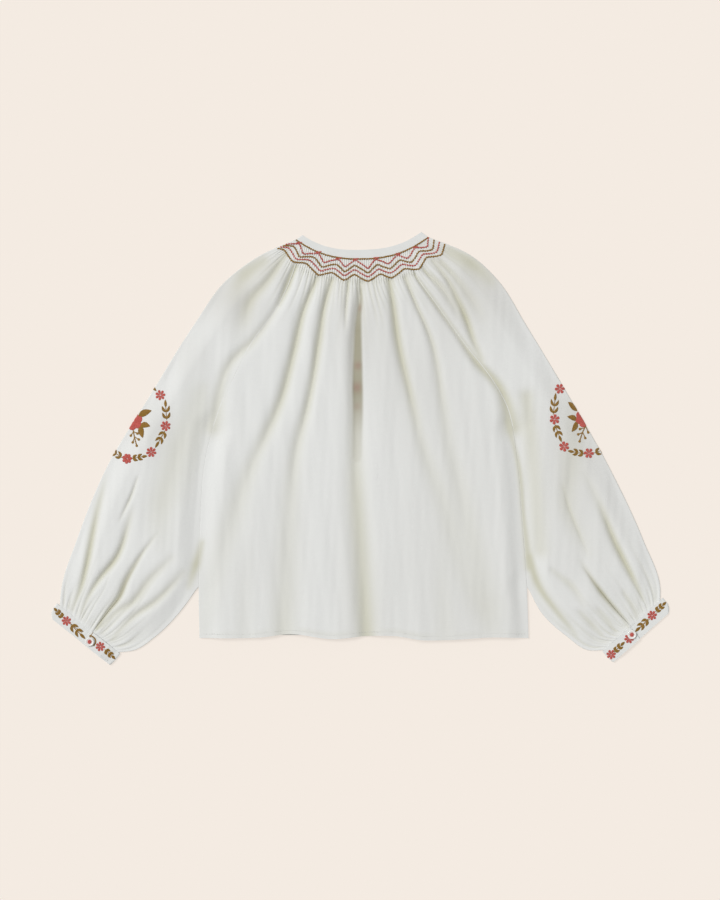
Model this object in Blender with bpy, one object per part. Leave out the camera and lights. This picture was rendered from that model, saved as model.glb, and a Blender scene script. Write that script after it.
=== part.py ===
"""Peasant blouse laid flat with its back upward: a smocked neck, raglan balloon sleeves and buttoned cuffs.

Plan sizes are in millimetres in the garment's own frame: X to the right, Y towards the neck, the hem
near Y 0, and Z up from the table. The cloth is drawn as the middle of its wall, and a Solidify modifier
gives it its thickness. The lower layer lies flat on the table, and the upper layer lies on it in folds.
"""

import math
from collections import namedtuple

import bmesh
import bpy
import numpy as np

MM = 0.001

CLOTH = 1.2  # wall of one layer of cotton voile, with its nap
BAND = 1.5  # wall of a folded band: cuff and neck binding
SEAM_GAP = 0.4  # clear space between sewn pieces
FLAT = CLOTH / 2  # the lower layer's middle surface, which lies on the table
REST = 2.7  # the upper layer's middle surface where it lies on the lower one
LIFT = 6.2  # how far the crests of the folds stand above that
LAY_CENTRE = (-2.2, 235.5)  # the middle of the laid garment, which goes to the origin

SLEEVE_SIDES = {"left": -1, "right": 1}

# The back neck seam, where the binding meets the smocking: y = low + rise * |x / half| ** power + tilt.
Neckline = namedtuple("Neckline", "half low rise power tilt")
BACK_SEAM = Neckline(half=83, low=473.3, rise=26, power=2.4, tilt=1.5)
BACK_EDGE = Neckline(half=75, low=483.8, rise=21, power=2.6, tilt=2.0)
FRONT_SEAM = Neckline(half=83, low=438.5, rise=60.8, power=2.2, tilt=1.5)
FRONT_EDGE = Neckline(half=75, low=449.0, rise=55.8, power=2.3, tilt=2.0)
NECK_SLIT = {"half_width": 1.6, "length": 90.0}

# Where the raglan seam and then the side seam run: the x of each side at a height y.
EdgeRow = namedtuple("EdgeRow", "y left right")
RAGLAN = [
    EdgeRow(452, -87, 68),
    EdgeRow(415, -104, 93),
    EdgeRow(370, -136, 125),
    EdgeRow(320, -162, 163),
    EdgeRow(282, -179, 183),
    EdgeRow(258, -187, 189),
]
RAGLAN_START = {"left": -76, "right": 60}
SIDE_SEAM = [
    EdgeRow(258, -187, 189),
    EdgeRow(222, -196, 194),
    EdgeRow(147, -202, 200),
    EdgeRow(62, -204, 206),
    EdgeRow(-1, -203, 208),
]
BACK_HEM = [(-127, 0), (-88, 4), (-37, -2), (5, 1.5), (40, 1.8), (75, -3.4), (105, -3.3), (165, 0)]
FRONT_HEM_Y = 2.5

# The sleeve's outer fold, from the neck to the cuff.
OUTER_FOLD = [
    EdgeRow(474, -133, 141),
    EdgeRow(444, -172, 172),
    EdgeRow(391, -210, 205),
    EdgeRow(301, -266, 259),
    EdgeRow(211, -320, 310),
    EdgeRow(121, -357, 352),
    EdgeRow(61, -376, 373),
]
# The sleeve's underside where it billows free of the body, from the side seam to the cuff.
BILLOW = [
    EdgeRow(62, -205.5, 207.5),
    EdgeRow(31, -228, 224),
    EdgeRow(1, -258, 256),
    EdgeRow(-16, -284, 282),
]

# A cuff is a band of this size, and its frame starts at the outer end of its gathered edge. The sleeve
# is gathered between two places along it.
CuffRow = namedtuple("CuffRow", "across outer inner")  # how far in each end of the cuff is drawn there
CUFF = {"length": 102.0, "round_off": 30.0}
CUFF_ROWS = [
    CuffRow(across=0, outer=0, inner=0),
    CuffRow(across=-9, outer=0.3, inner=0),
    CuffRow(across=-14, outer=2.5, inner=0.3),
    CuffRow(across=-17.5, outer=6, inner=1),
    CuffRow(across=-19, outer=9, inner=1.8),
]
GATHERS = {"outer": 4.5, "inner": 98.5, "gap": 0.9}
CUFF_PLACES = {"left": ((-381.5, 42.5), -38.5), "right": ((376.3, 49.4), 41.5)}
CUFF_LAP = {"over_end": 56.0, "under_end": 74.0, "rise_from": 84.0, "rise_to": 96.0}
BUTTON = {"radius": 5.5, "height": 2.4, "dish": 3.9, "dish_depth": 0.6, "hole": 0.75, "hole_at": 1.5}
BUTTON_PLACES = {"left": (62.5, -11.5), "right": (60.2, -8.0)}
SLEEVE_SLIT = {"half_width": 0.6, "length": 55.0, "at": 62.0}

# Troughs between the folds of the upper layer. A path runs through its points, and width and depth are
# read evenly along it: width in millimetres, depth as a share of the cloth's lift.
Fold = namedtuple("Fold", "name path width depth")
FOLDS = [
    Fold("centre", [(-1, 441), (-8, 277), (-5, 165), (7, -2)], [5, 8, 11, 15], [1, 0.95, 0.6, 0.85]),
    Fold("left inner", [(-38, 446), (-52, 374), (-81, 237), (-98, 0)], [5, 8, 14, 19], [0.95, 0.9, 0.5, 0.75]),
    Fold("left outer", [(-56, 449), (-84, 356), (-136, 217), (-197, 10)], [5, 8, 15, 19], [0.95, 0.85, 0.45, 0.4]),
    Fold("right inner", [(34, 445), (45, 373), (77, 237), (150, 8)], [5, 7, 13, 17], [0.9, 0.8, 0.4, 0.35]),
    Fold("right outer", [(55, 449), (87, 372), (110, 237), (164, 10)], [4, 7, 14, 18], [0.8, 0.5, 0.4, 0.4]),
    Fold("left armhole", [(-83, 463), (-103, 417), (-162, 345), (-186, 262)], [4, 6, 8, 12], [0.9, 0.45, 0.45, 1]),
    Fold("right armhole", [(88, 470), (138, 367), (173, 310), (188, 262)], [4, 5, 6, 12], [0.6, 0.8, 0.8, 1]),
    Fold("left shoulder", [(-94, 479), (-119, 442), (-151, 400), (-166, 335)], [4, 6, 12, 12], [0.6, 0.5, 0.4, 0.2]),
    Fold("left sleeve", [(-205, 300), (-236, 209), (-252, 146), (-246, 96)], [14, 18, 18, 14], [0.2, 0.4, 0.35, 0]),
    Fold("left cuff outer", [(-362, 34), (-352, 59), (-335, 130), (-318, 203)], [4, 5, 6, 8], [0.5, 0.9, 0.7, 0]),
    Fold("left cuff second", [(-347, 30), (-331, 68), (-306, 100), (-286, 161)], [4, 5, 6, 10], [0.5, 0.9, 0.7, 0]),
    Fold("left slit", [(-332, 6), (-318, 30), (-293, 71), (-254, 130)], [3, 4, 5, 6], [0.9, 1, 0.7, 0]),
    Fold("left cuff inner", [(-310, -8), (-286, 25), (-256, 46), (-223, 82)], [4, 5, 7, 9], [0.5, 0.8, 0.5, 0]),
    Fold("right sleeve", [(262, 290), (262, 230), (256, 165), (281, 106)], [14, 14, 10, 8], [0.1, 0.3, 0.35, 0.1]),
    Fold("right cuff outer", [(350, 46), (336, 80), (317, 117), (279, 203)], [4, 5, 6, 9], [0.4, 0.95, 0.7, 0]),
    Fold("right slit", [(333, 12), (325, 25), (296, 61), (270, 100)], [3, 4, 4, 6], [0.7, 0.9, 0.8, 0]),
    Fold("right cuff inner", [(280, -5), (261, 13), (246, 30), (219, 68)], [4, 5, 6, 7], [0.3, 0.6, 0.8, 0.5]),
]

# How far from each edge the upper layer takes to reach its full lift, and its share of it at the edge.
Rise = namedtuple("Rise", "reach share")
RISE_FROM = {
    "fold": Rise(reach=30, share=0.0),
    "side": Rise(reach=28, share=0.0),
    "neck": Rise(reach=60, share=0.05),
    "cuff": Rise(reach=70, share=0.2),
    "hem": Rise(reach=120, share=0.8),
}

# The grids: rows beside the raglan seam, beside the side seam, and below that, on the body and the sleeve.
BACK_ACROSS = 42
ROWS = {"raglan": 9, "side": 7, "hem": 3, "billow": 5}
SLEEVE_GRID = {"top": 13, "bottom": 4}
OUTER_SHARES = {"under_arm": 0.48, "billow": 0.87}
ARC_STEPS = 3

VOILE_WHITE = (0.86, 0.87, 0.84, 1.0)
BAND_WHITE = (0.88, 0.89, 0.87, 1.0)
BUTTON_WHITE = (0.93, 0.93, 0.91, 1.0)


# ---------------------------------------------------------------- curves and the cloth's height


def smooth_path(points, count):
    """Evenly spaced points on a smooth curve through the given ones."""
    knots = np.array(points, float)
    chord = np.concatenate([[0], np.cumsum(np.linalg.norm(np.diff(knots, axis=0), axis=1))])
    slopes = np.gradient(knots, chord, axis=0)
    at = np.linspace(0, chord[-1], 30 * len(knots))
    k = np.clip(np.searchsorted(chord, at, side="right") - 1, 0, len(knots) - 2)
    span = (chord[k + 1] - chord[k])[:, None]
    t = (at - chord[k])[:, None] / span
    leave = (1 - t) ** 2 * ((1 + 2 * t) * knots[k] + t * span * slopes[k])
    reach = t**2 * ((3 - 2 * t) * knots[k + 1] - (1 - t) * span * slopes[k + 1])
    return evenly(leave + reach, count)


def evenly(path, count):
    """The same path with its points spaced evenly along it."""
    along = np.concatenate([[0], np.cumsum(np.linalg.norm(np.diff(path, axis=0), axis=1))])
    at = np.linspace(0, along[-1], count)
    return np.stack([np.interp(at, along, path[:, axis]) for axis in range(path.shape[1])], axis=1)


def nearest_on(path, points):
    """For each point, how far it is from the path, and the share of the path at which it is nearest."""
    start, step = path[:-1], np.diff(path, axis=0)
    t = ((points[:, None] - start) * step).sum(2) / (step * step).sum(1)
    t = np.clip(t, 0, 1)
    gaps = np.linalg.norm(points[:, None] - start - t[..., None] * step, axis=2)
    best = gaps.argmin(1)
    rows = np.arange(len(points))
    return gaps[rows, best], (best + t[rows, best]) / len(step)


def neck_y(line, x):
    """Height of a neckline at x."""
    return line.low + line.rise * np.abs(x / line.half) ** line.power + line.tilt * x / line.half


def neck_path(line, first, last, count):
    """Points along a neckline between two places across it, each given as x."""
    x = np.linspace(first, last, 8 * count)
    return evenly(np.stack([x, neck_y(line, x)], axis=1), count)


def edge_points(rows, side):
    """The plan points of one side of a table of edge rows."""
    return [(getattr(row, side), row.y) for row in rows]


def seam_stations(seam, side):
    """The places where rows of cloth meet the seam between the body and a sleeve: down the raglan from
    the neck seam of the back or the front, then down the side to the hem."""
    start = RAGLAN_START[side]
    neck = (start, float(neck_y(seam, start)) - SEAM_GAP)
    path = smooth_path([neck, *edge_points(RAGLAN, side), *edge_points(SIDE_SEAM[1:], side)], 800)
    marks = [RAGLAN[-1], SIDE_SEAM[-2]]
    under_arm, billow = (np.abs(path[:, 1] - mark.y).argmin() for mark in marks)
    counts = [("raglan", 0, under_arm), ("side", under_arm, billow), ("hem", billow, len(path) - 1)]
    at = [0]
    for rows, first, last in counts:
        at += list(np.linspace(first, last, ROWS[rows] + 1).round().astype(int)[1:])
    return path[at]


def tip_of(seam, side):
    """Where the neckline meets the silhouette on one side."""
    x = SLEEVE_SIDES[side] * seam.half
    return (x, float(neck_y(seam, x)))


def cuff_point(side, along, across):
    """The plan point at a distance along the cuff from its outer end, and across from its gathered edge."""
    (x, y), degrees = CUFF_PLACES[side]
    turn = math.radians(degrees)
    local_x = -SLEEVE_SIDES[side] * along
    return (
        x + local_x * math.cos(turn) - across * math.sin(turn),
        y + local_x * math.sin(turn) + across * math.cos(turn),
    )


def outer_fold(side):
    """The sleeve's outer fold, from the neck to the cuff."""
    return [tip_of(BACK_SEAM, side), *edge_points(OUTER_FOLD, side), cuff_point(side, GATHERS["outer"], 0)]


def outer_stations(side):
    """The places on the outer fold that face the sleeve's rows on its seam and inner fold."""
    shares = [0, OUTER_SHARES["under_arm"], OUTER_SHARES["billow"], 1]
    rows = np.cumsum([0, ROWS["raglan"], ROWS["side"], ROWS["billow"]])
    at = np.interp(np.arange(rows[-1] + 1), rows, shares)
    return smooth_path(outer_fold(side), 800)[(at * 799).round().astype(int)]


def billow(side):
    """The sleeve's inner fold where it hangs free of the body, down to the cuff."""
    return [*edge_points(BILLOW, side), cuff_point(side, GATHERS["inner"], 0)]


def smoothstep(share):
    share = np.clip(share, 0, 1)
    return share * share * (3 - 2 * share)


def edges_of_the_lay():
    """Every edge that holds the upper layer down, as (kind of rise, path)."""
    found = [("neck", neck_path(BACK_SEAM, -BACK_SEAM.half, BACK_SEAM.half, 24)), ("hem", hem_path(24))]
    for side in SLEEVE_SIDES:
        found.append(("fold", smooth_path(outer_fold(side), 40)))
        found.append(("side", smooth_path(edge_points(SIDE_SEAM, side), 24)))
        found.append(("fold", smooth_path(billow(side), 24)))
        found.append(("cuff", np.array([cuff_point(side, 0, 0), cuff_point(side, CUFF["length"], 0)])))
    return found


def hem_path(count):
    """The back hem, from its left corner to its right one."""
    left, right = ((getattr(SIDE_SEAM[-1], side), SIDE_SEAM[-1].y) for side in SLEEVE_SIDES)
    return smooth_path([left, *BACK_HEM, right], count)


def upper_height(points):
    """Height of the upper layer's middle surface at plan points."""
    lift = np.full(len(points), LIFT)
    for kind, path in edges_of_the_lay():
        rise = RISE_FROM[kind]
        gap, _ = nearest_on(path, points)
        lift *= rise.share + (1 - rise.share) * smoothstep(gap / rise.reach)
    for fold in FOLDS:
        gap, at = nearest_on(smooth_path(fold.path, 16), points)
        width = np.interp(at, np.linspace(0, 1, len(fold.width)), fold.width)
        depth = np.interp(at, np.linspace(0, 1, len(fold.depth)), fold.depth)
        lift *= 1 - depth * np.exp(-((gap / width) ** 2))
    return REST + lift


# ---------------------------------------------------------------- making objects


def cloth_material(name, colour, roughness):
    """A plain material in the piece's own colour."""
    material = bpy.data.materials.new(name)
    material.use_nodes = True
    shader = material.node_tree.nodes["Principled BSDF"]
    shader.inputs["Base Color"].default_value = colour
    shader.inputs["Roughness"].default_value = roughness
    shader.inputs["Metallic"].default_value = 0.0
    return material


def new_object(name, bm, parent, colour, roughness=0.9):
    """Puts a bmesh in the scene as a named object under its parent, with its own material."""
    mesh = bpy.data.meshes.new(name)
    bm.to_mesh(mesh)
    bm.free()
    mesh.materials.append(cloth_material(name, colour, roughness))
    mesh.shade_smooth()
    mesh.set_sharp_from_angle(angle=math.radians(50))
    made = bpy.data.objects.new(name, mesh)
    bpy.context.scene.collection.objects.link(made)
    made.parent = parent
    return made


def give_thickness(piece, thickness):
    """A wall of this thickness, half of it on each side of the drawn surface."""
    wall = piece.modifiers.new("wall", "SOLIDIFY")
    wall.thickness = thickness * MM
    wall.offset = 0
    wall.use_even_offset = True
    wall.use_quality_normals = True


def sheet_of(rows, missing=()):
    """A bmesh over a grid of points, rows by columns. Points that coincide are joined, and the faces in
    missing, each (row, column), are left out."""
    bm = bmesh.new()
    grid = [[bm.verts.new(np.asarray(point) * MM) for point in row] for row in rows]
    for i in range(len(grid) - 1):
        for j in range(len(grid[0]) - 1):
            if (i, j) not in missing:
                bm.faces.new((grid[i][j], grid[i + 1][j], grid[i + 1][j + 1], grid[i][j + 1]))
    bmesh.ops.remove_doubles(bm, verts=bm.verts, dist=0.01 * MM)
    bmesh.ops.recalc_face_normals(bm, faces=bm.faces)
    return bm


# ---------------------------------------------------------------- body


def inset(path, distance):
    """A plan path moved sideways: to its left as it runs, for a positive distance."""
    step = np.gradient(path, axis=0)
    step /= np.linalg.norm(step, axis=1)[:, None]
    return path + distance * np.stack([-step[:, 1], step[:, 0]], axis=1)


def body_side(seam, side):
    """One edge of a body panel, from the neck seam down to the hem, half a seam gap inside the seam."""
    return inset(seam_stations(seam, side), -SLEEVE_SIDES[side] * SEAM_GAP / 2)


def back_panel(parent):
    """The back, between the raglan and side seams, in folds that fall from the smocked neck to the hem."""
    left, right = (body_side(BACK_SEAM, side) for side in SLEEVE_SIDES)
    top = neck_path(BACK_SEAM, left[0][0], right[0][0], BACK_ACROSS + 1) - (0, SEAM_GAP)
    bottom = hem_path(BACK_ACROSS + 1)
    fallen = np.concatenate([[0], np.cumsum(np.linalg.norm(np.diff(left, axis=0), axis=1))])
    u = np.linspace(0, 1, BACK_ACROSS + 1)[None, :, None]
    v = (fallen / fallen[-1])[:, None, None]
    corners = (1 - v) * ((1 - u) * left[0] + u * right[0]) + v * ((1 - u) * left[-1] + u * right[-1])
    plan = (1 - v) * top + v * bottom + (1 - u) * left[:, None] + u * right[:, None] - corners
    heights = upper_height(plan.reshape(-1, 2)).reshape(*plan.shape[:2], 1)
    piece = new_object("back", sheet_of(np.concatenate([plan, heights], axis=2)), parent, VOILE_WHITE)
    give_thickness(piece, CLOTH)


def front_panel(parent):
    """The front, flat on the table, with a slit down from the middle of its lower neckline."""
    left, right = (body_side(FRONT_SEAM, side) for side in SLEEVE_SIDES)
    left[-1][1] = right[-1][1] = FRONT_HEM_Y
    slit = NECK_SLIT["half_width"]
    neck_left = neck_path(FRONT_SEAM, left[0][0], -slit, 14) - (0, SEAM_GAP)
    neck_right = neck_path(FRONT_SEAM, slit, right[0][0], 14) - (0, SEAM_GAP)
    foot = (0, FRONT_SEAM.low - NECK_SLIT["length"])
    outline = [*left[:0:-1], *neck_left, foot, *neck_right, *right[1:]]
    bm = bmesh.new()
    bm.faces.new([bm.verts.new((x * MM, y * MM, FLAT * MM)) for x, y in outline])
    bmesh.ops.recalc_face_normals(bm, faces=bm.faces)
    give_thickness(new_object("front", bm, parent, VOILE_WHITE), CLOTH)


# ---------------------------------------------------------------- sleeves


def arc(centre, outward, radius, first, last):
    """Points round a fold, from one angle to another: 90 degrees is its top and 0 its outermost place."""
    angles = np.radians(np.linspace(first, last, ARC_STEPS + 1))
    plan = centre[:2] + np.outer(np.cos(angles) * radius, outward)
    return np.column_stack([plan, centre[2] + np.sin(angles) * radius])


def slit_shares(shares, width, slit):
    """The places across a sleeve, with the two nearest the slit drawn to its edges if it is slit there,
    and the number of the first of them."""
    at = 1 - SLEEVE_SLIT["at"] / CUFF["length"]
    near = int(np.searchsorted(shares, at)) - 1
    half = SLEEVE_SLIT["half_width"] / width if slit else 0.3 / SLEEVE_GRID["top"]
    drawn = shares.copy()
    drawn[near : near + 2] = (at - half, at + half)
    return drawn, near


def sleeve_ring(outer, inner_top, inner_bottom, closed, clear, shares):
    """One section of a sleeve: from its inner edge over the top to the outer fold, and back underneath.
    An open one stays clear of its seams by the given distance."""
    outward = (outer - inner_top) / np.linalg.norm(outer - inner_top)
    radius = (REST - FLAT) / 2
    middle = (REST + FLAT) / 2
    wall = CLOTH / 2
    fold_centre = np.array([*(outer - outward * (radius + wall)), middle])
    around_outer = arc(fold_centre, outward, radius, 90, -90)
    if closed:
        held = radius + wall + SEAM_GAP / 2
        inner_centre = np.array([*(inner_top + outward * held), middle])
        start = arc(inner_centre, outward, radius, 180, 90)
        end = arc(inner_centre, outward, radius, 270, 180)
    else:
        steps = np.linspace(0, radius, ARC_STEPS + 1)[:, None]
        on_top = inner_top + outward * (steps + clear)
        below = inner_bottom + outward * (steps[::-1] + clear)
        start = np.column_stack([on_top, upper_height(on_top)])
        end = np.column_stack([below, np.full(len(below), FLAT)])
    top = start[-1][:2] + np.outer(shares[1:-1], around_outer[0][:2] - start[-1][:2])
    under = np.linspace(around_outer[-1][:2], end[0][:2], SLEEVE_GRID["bottom"] + 1)[1:-1]
    over_top = np.column_stack([top, upper_height(top)])
    beneath = np.column_stack([under, np.full(len(under), FLAT)])
    return np.concatenate([start, over_top, around_outer, beneath, end])


def neck_edge(ring):
    """The sleeve's first section drawn onto the neck seams of the back and the front."""
    ends = ARC_STEPS + SLEEVE_GRID["top"]
    for seam, points in ((BACK_SEAM, ring[: ends + 1]), (FRONT_SEAM, ring[ends + ARC_STEPS :])):
        points[:, 1] = neck_y(seam, points[:, 0]) - SEAM_GAP
    turn = ring[ends : ends + ARC_STEPS + 1]
    turn[:, 1] = np.interp(turn[:, 2], [FLAT, REST], [turn[-1][1], turn[0][1]])
    from_fold = np.abs(turn[:, 0]).max() - np.abs(ring[:, 0])
    ring[:, 1] -= 3 * SEAM_GAP * np.exp(-((from_fold / 3) ** 2))
    return ring


def sleeve(side, parent):
    """A raglan balloon sleeve: open between its seams above the underarm, a tube below it, and slit
    at the cuff."""
    outer = outer_stations(side)
    back_seam, front_seam = (seam_stations(seam, side)[: -ROWS["hem"]] for seam in (BACK_SEAM, FRONT_SEAM))
    free = smooth_path(billow(side), ROWS["billow"] + 1)[1:]
    inner_top, inner_bottom = (np.concatenate([seam, free]) for seam in (back_seam, front_seam))
    shares = np.linspace(0, 1, SLEEVE_GRID["top"] + 1)
    rings, missing = [], set()
    for i, (place, top, bottom) in enumerate(zip(outer, inner_top, inner_bottom)):
        slit = np.linalg.norm(place - outer[-1]) < SLEEVE_SLIT["length"]
        drawn, near = slit_shares(shares, np.linalg.norm(place - top), slit)
        clear = SEAM_GAP if i == ROWS["raglan"] - 1 else SEAM_GAP / 2
        rings.append(sleeve_ring(place, top, bottom, i >= ROWS["raglan"], clear, drawn))
        if slit and i < len(outer) - 1:
            missing.add((i, near + ARC_STEPS))
    rings[0] = neck_edge(rings[0])
    name = f"sleeve_{side}"
    give_thickness(new_object(name, sheet_of(rings, missing), parent, VOILE_WHITE), CLOTH)


# ---------------------------------------------------------------- neck binding


def binding_strip(seam, edge, first, last, count, height):
    """One stretch of the binding, as rows of (seam side, edge side) points."""
    outside = neck_path(seam, first * seam.half, last * seam.half, count)
    inside = neck_path(edge, first * edge.half, last * edge.half, count)
    return [[(*a, height), (*b, height)] for a, b in zip(outside, inside)]


def neck_binding(parent):
    """One folded strip round the neck: from the slit over the front, round both shoulder folds and
    across the back."""
    low, high = BAND / 2, BAND / 2 + BAND + 0.5
    radius = (high - low) / 2
    slit = NECK_SLIT["half_width"] / FRONT_SEAM.half
    tip = 1 - (radius + BAND / 2) / BACK_SEAM.half
    front_left = binding_strip(FRONT_SEAM, FRONT_EDGE, -slit, -tip, 16, low)
    back = binding_strip(BACK_SEAM, BACK_EDGE, -tip, tip, 30, high)
    front_right = binding_strip(FRONT_SEAM, FRONT_EDGE, tip, slit, 16, low)
    rows = [*front_left, *shoulder_fold(front_left[-1], back[0], -1, radius)]
    rows += [*back, *shoulder_fold(back[-1], front_right[0], 1, radius), *front_right]
    give_thickness(new_object("neck_binding", sheet_of(rows), parent, BAND_WHITE, 0.85), BAND)


def shoulder_fold(before, after, sign, radius):
    """The rows between two layers of the binding, round the fold at a shoulder."""
    rows = []
    for angle in np.radians(np.linspace(-90, 90, ARC_STEPS + 1)[1:-1] * -sign):
        share = (1 + math.sin(angle) * -sign) / 2
        row = []
        for a, b in zip(np.array(before), np.array(after)):
            point = a + (b - a) * share
            point[0] += sign * radius * math.cos(angle)
            row.append(point)
        rows.append(row)
    return rows


# ---------------------------------------------------------------- cuffs and buttons


def cuff_section():
    """The cuff's band seen end on, as (along, height): from under its lap, round the wrist to over it."""
    low = BAND / 2
    under = low + BAND + 0.6
    over = under + BAND + SEAM_GAP
    radius = (under - low) / 2
    centre = radius + BAND / 2
    turns = np.radians(np.linspace(90, 270, 2 * ARC_STEPS + 1))
    outer_turn = [(centre + radius * math.cos(a), low + radius + radius * math.sin(a)) for a in turns]
    inner_turn = [(CUFF["length"] - along, height) for along, height in outer_turn[::-1]]
    return [
        (CUFF_LAP["under_end"], under),
        *outer_turn,
        *inner_turn,
        (CUFF_LAP["rise_to"], under),
        (CUFF_LAP["rise_from"], over),
        (CUFF_LAP["over_end"], over),
    ]


def cuff(side, parent):
    """A buttoned band, flattened, whose ends lap on the upper layer. Its frame is turned to the wrist."""
    rows = []
    length, round_off = CUFF["length"], CUFF["round_off"]
    for across, outer, inner in CUFF_ROWS:
        row = []
        for along, height in cuff_section():
            along += outer * max(0, 1 - along / round_off) - inner * max(0, 1 - (length - along) / round_off)
            row.append((-SLEEVE_SIDES[side] * along, across, height))
        rows.append(row)
    made = new_object(f"cuff_{side}", sheet_of(rows), parent, BAND_WHITE, 0.85)
    give_thickness(made, BAND)
    (x, y), degrees = CUFF_PLACES[side]
    turn = math.radians(degrees)
    gap = GATHERS["gap"]
    made.location = ((x + gap * math.sin(turn)) * MM, (y - gap * math.cos(turn)) * MM, 0)
    made.rotation_euler.z = turn
    return made


def hole_cutter(name, parent):
    """Four drills through a button, as one hidden helper."""
    bm = bmesh.new()
    for k in range(4):
        angle = math.radians(45 + 90 * k)
        made = bmesh.ops.create_cone(
            bm, cap_ends=True, segments=6, depth=4 * BUTTON["height"] * MM,
            radius1=BUTTON["hole"] * MM, radius2=BUTTON["hole"] * MM,
        )
        across = BUTTON["hole_at"] * MM
        bmesh.ops.translate(bm, verts=made["verts"], vec=(across * math.cos(angle), across * math.sin(angle), 0))
    cutter = new_object(name, bm, parent, BUTTON_WHITE)
    cutter.hide_render = True
    cutter.display_type = "WIRE"
    return cutter


def button(side, on_cuff):
    """A round four-hole button with a dished face, on the cuff's lap."""
    top, edge = BUTTON["height"], BUTTON["radius"]
    profile = [
        (0, 0), (edge - 1.2, 0), (edge, 0.8), (edge, top - 0.7), (edge - 0.7, top),
        (BUTTON["dish"] + 0.3, top), (BUTTON["dish"] - 0.4, top - BUTTON["dish_depth"]),
        (0, top - BUTTON["dish_depth"]),
    ]
    bm = bmesh.new()
    verts = [bm.verts.new((r * MM, 0, z * MM)) for r, z in profile]
    edges = [bm.edges.new(pair) for pair in zip(verts, verts[1:])]
    bmesh.ops.spin(
        bm, geom=verts + edges, cent=(0, 0, 0), axis=(0, 0, 1), angle=math.tau, steps=20, use_merge=True
    )
    bmesh.ops.remove_doubles(bm, verts=bm.verts, dist=0.01 * MM)
    bmesh.ops.recalc_face_normals(bm, faces=bm.faces)
    made = new_object(f"button_{side}", bm, on_cuff, BUTTON_WHITE, 0.35)
    lap_top = max(height for _, height in cuff_section()) + BAND / 2
    along, across = BUTTON_PLACES[side]
    made.location = (-SLEEVE_SIDES[side] * along * MM, across * MM, (lap_top + SEAM_GAP) * MM)
    drill = made.modifiers.new("holes", "BOOLEAN")
    drill.object = hole_cutter(f"button_{side}_drill", made)
    drill.operation = "DIFFERENCE"


def main():
    for thing in list(bpy.data.objects):
        bpy.data.objects.remove(thing)
    blouse = bpy.data.objects.new("blouse", None)
    blouse.location = (-LAY_CENTRE[0] * MM, -LAY_CENTRE[1] * MM, 0)
    bpy.context.scene.collection.objects.link(blouse)
    back_panel(blouse)
    front_panel(blouse)
    neck_binding(blouse)
    for side in SLEEVE_SIDES:
        sleeve(side, blouse)
        button(side, cuff(side, blouse))


main()
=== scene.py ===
"""Looks for a peasant blouse of white cotton voile, laid flat with its back upward.

Plan sizes are in millimetres in the garment's own frame: X to the right, Y towards the neck, the hem
near Y 0 and Z up from the table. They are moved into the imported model's frame as each mesh is finished.
"""

from __future__ import annotations

import logging
import math
from dataclasses import dataclass, field
from enum import Enum
from typing import Callable, NamedTuple, Sequence

import bmesh
import bpy
import numpy as np
from mathutils import Matrix, Vector
from mathutils.bvhtree import BVHTree


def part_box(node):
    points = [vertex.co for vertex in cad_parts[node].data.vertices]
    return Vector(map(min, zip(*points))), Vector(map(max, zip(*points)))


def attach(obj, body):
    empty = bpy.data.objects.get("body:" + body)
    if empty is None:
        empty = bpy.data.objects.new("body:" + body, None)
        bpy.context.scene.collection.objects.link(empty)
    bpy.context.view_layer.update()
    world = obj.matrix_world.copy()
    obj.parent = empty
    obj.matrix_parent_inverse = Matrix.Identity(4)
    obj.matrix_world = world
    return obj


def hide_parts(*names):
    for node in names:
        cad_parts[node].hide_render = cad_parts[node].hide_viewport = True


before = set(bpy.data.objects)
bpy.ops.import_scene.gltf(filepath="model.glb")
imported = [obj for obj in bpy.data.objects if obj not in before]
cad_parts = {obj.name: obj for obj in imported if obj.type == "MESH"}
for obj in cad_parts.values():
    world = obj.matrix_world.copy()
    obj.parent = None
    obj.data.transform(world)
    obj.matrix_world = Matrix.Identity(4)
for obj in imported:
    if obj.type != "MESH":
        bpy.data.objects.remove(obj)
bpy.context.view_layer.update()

MM = 0.001
LOG = logging.getLogger("blouse")
Array = np.ndarray
ArrayMap = Callable[[Array], Array]
Colour = tuple[float, float, float]
PlanPoint = tuple[float, float]
Socket = bpy.types.NodeSocket
Material = bpy.types.Material


class Side(Enum):
    """The two sides of the blouse, with the sign of X on each."""

    LEFT = -1
    RIGHT = 1

    @property
    def word(self) -> str:
        """The side's name as the nodes use it."""
        return self.name.lower()


class Hold(Enum):
    """What an edge does to the upper layer: how far in it starts, and its share of the lift at the edge."""

    FOLD = (30.0, 0.0)
    SIDE = (28.0, 0.0)
    NECK = (60.0, 0.05)
    CUFF = (70.0, 0.11)
    HEM = (120.0, 0.8)


# ---- the lay: heights and seam lines

REST = 2.7  # the upper layer's middle surface where it lies on the lower one
FLAT = 0.6  # the lower layer's middle surface
LIFT = 6.2  # how far the crests stand above REST
VOILE = 0.5  # thickness of the voile as it is drawn here
SEAM = -0.02  # half the crease between sewn pieces, which overlap by a hair


class Row(NamedTuple):
    """The x of both sides of the garment at a height y."""

    y: float
    left: float
    right: float


class Neckline(NamedTuple):
    """A neck edge: y = low + rise * |x / half| ** power + tilt * x / half."""

    half: float
    low: float
    rise: float
    power: float
    tilt: float

    def y(self, x: Array | float) -> Array | float:
        """Height of the neckline at x."""
        return self.low + self.rise * np.abs(x / self.half) ** self.power + self.tilt * x / self.half


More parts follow.
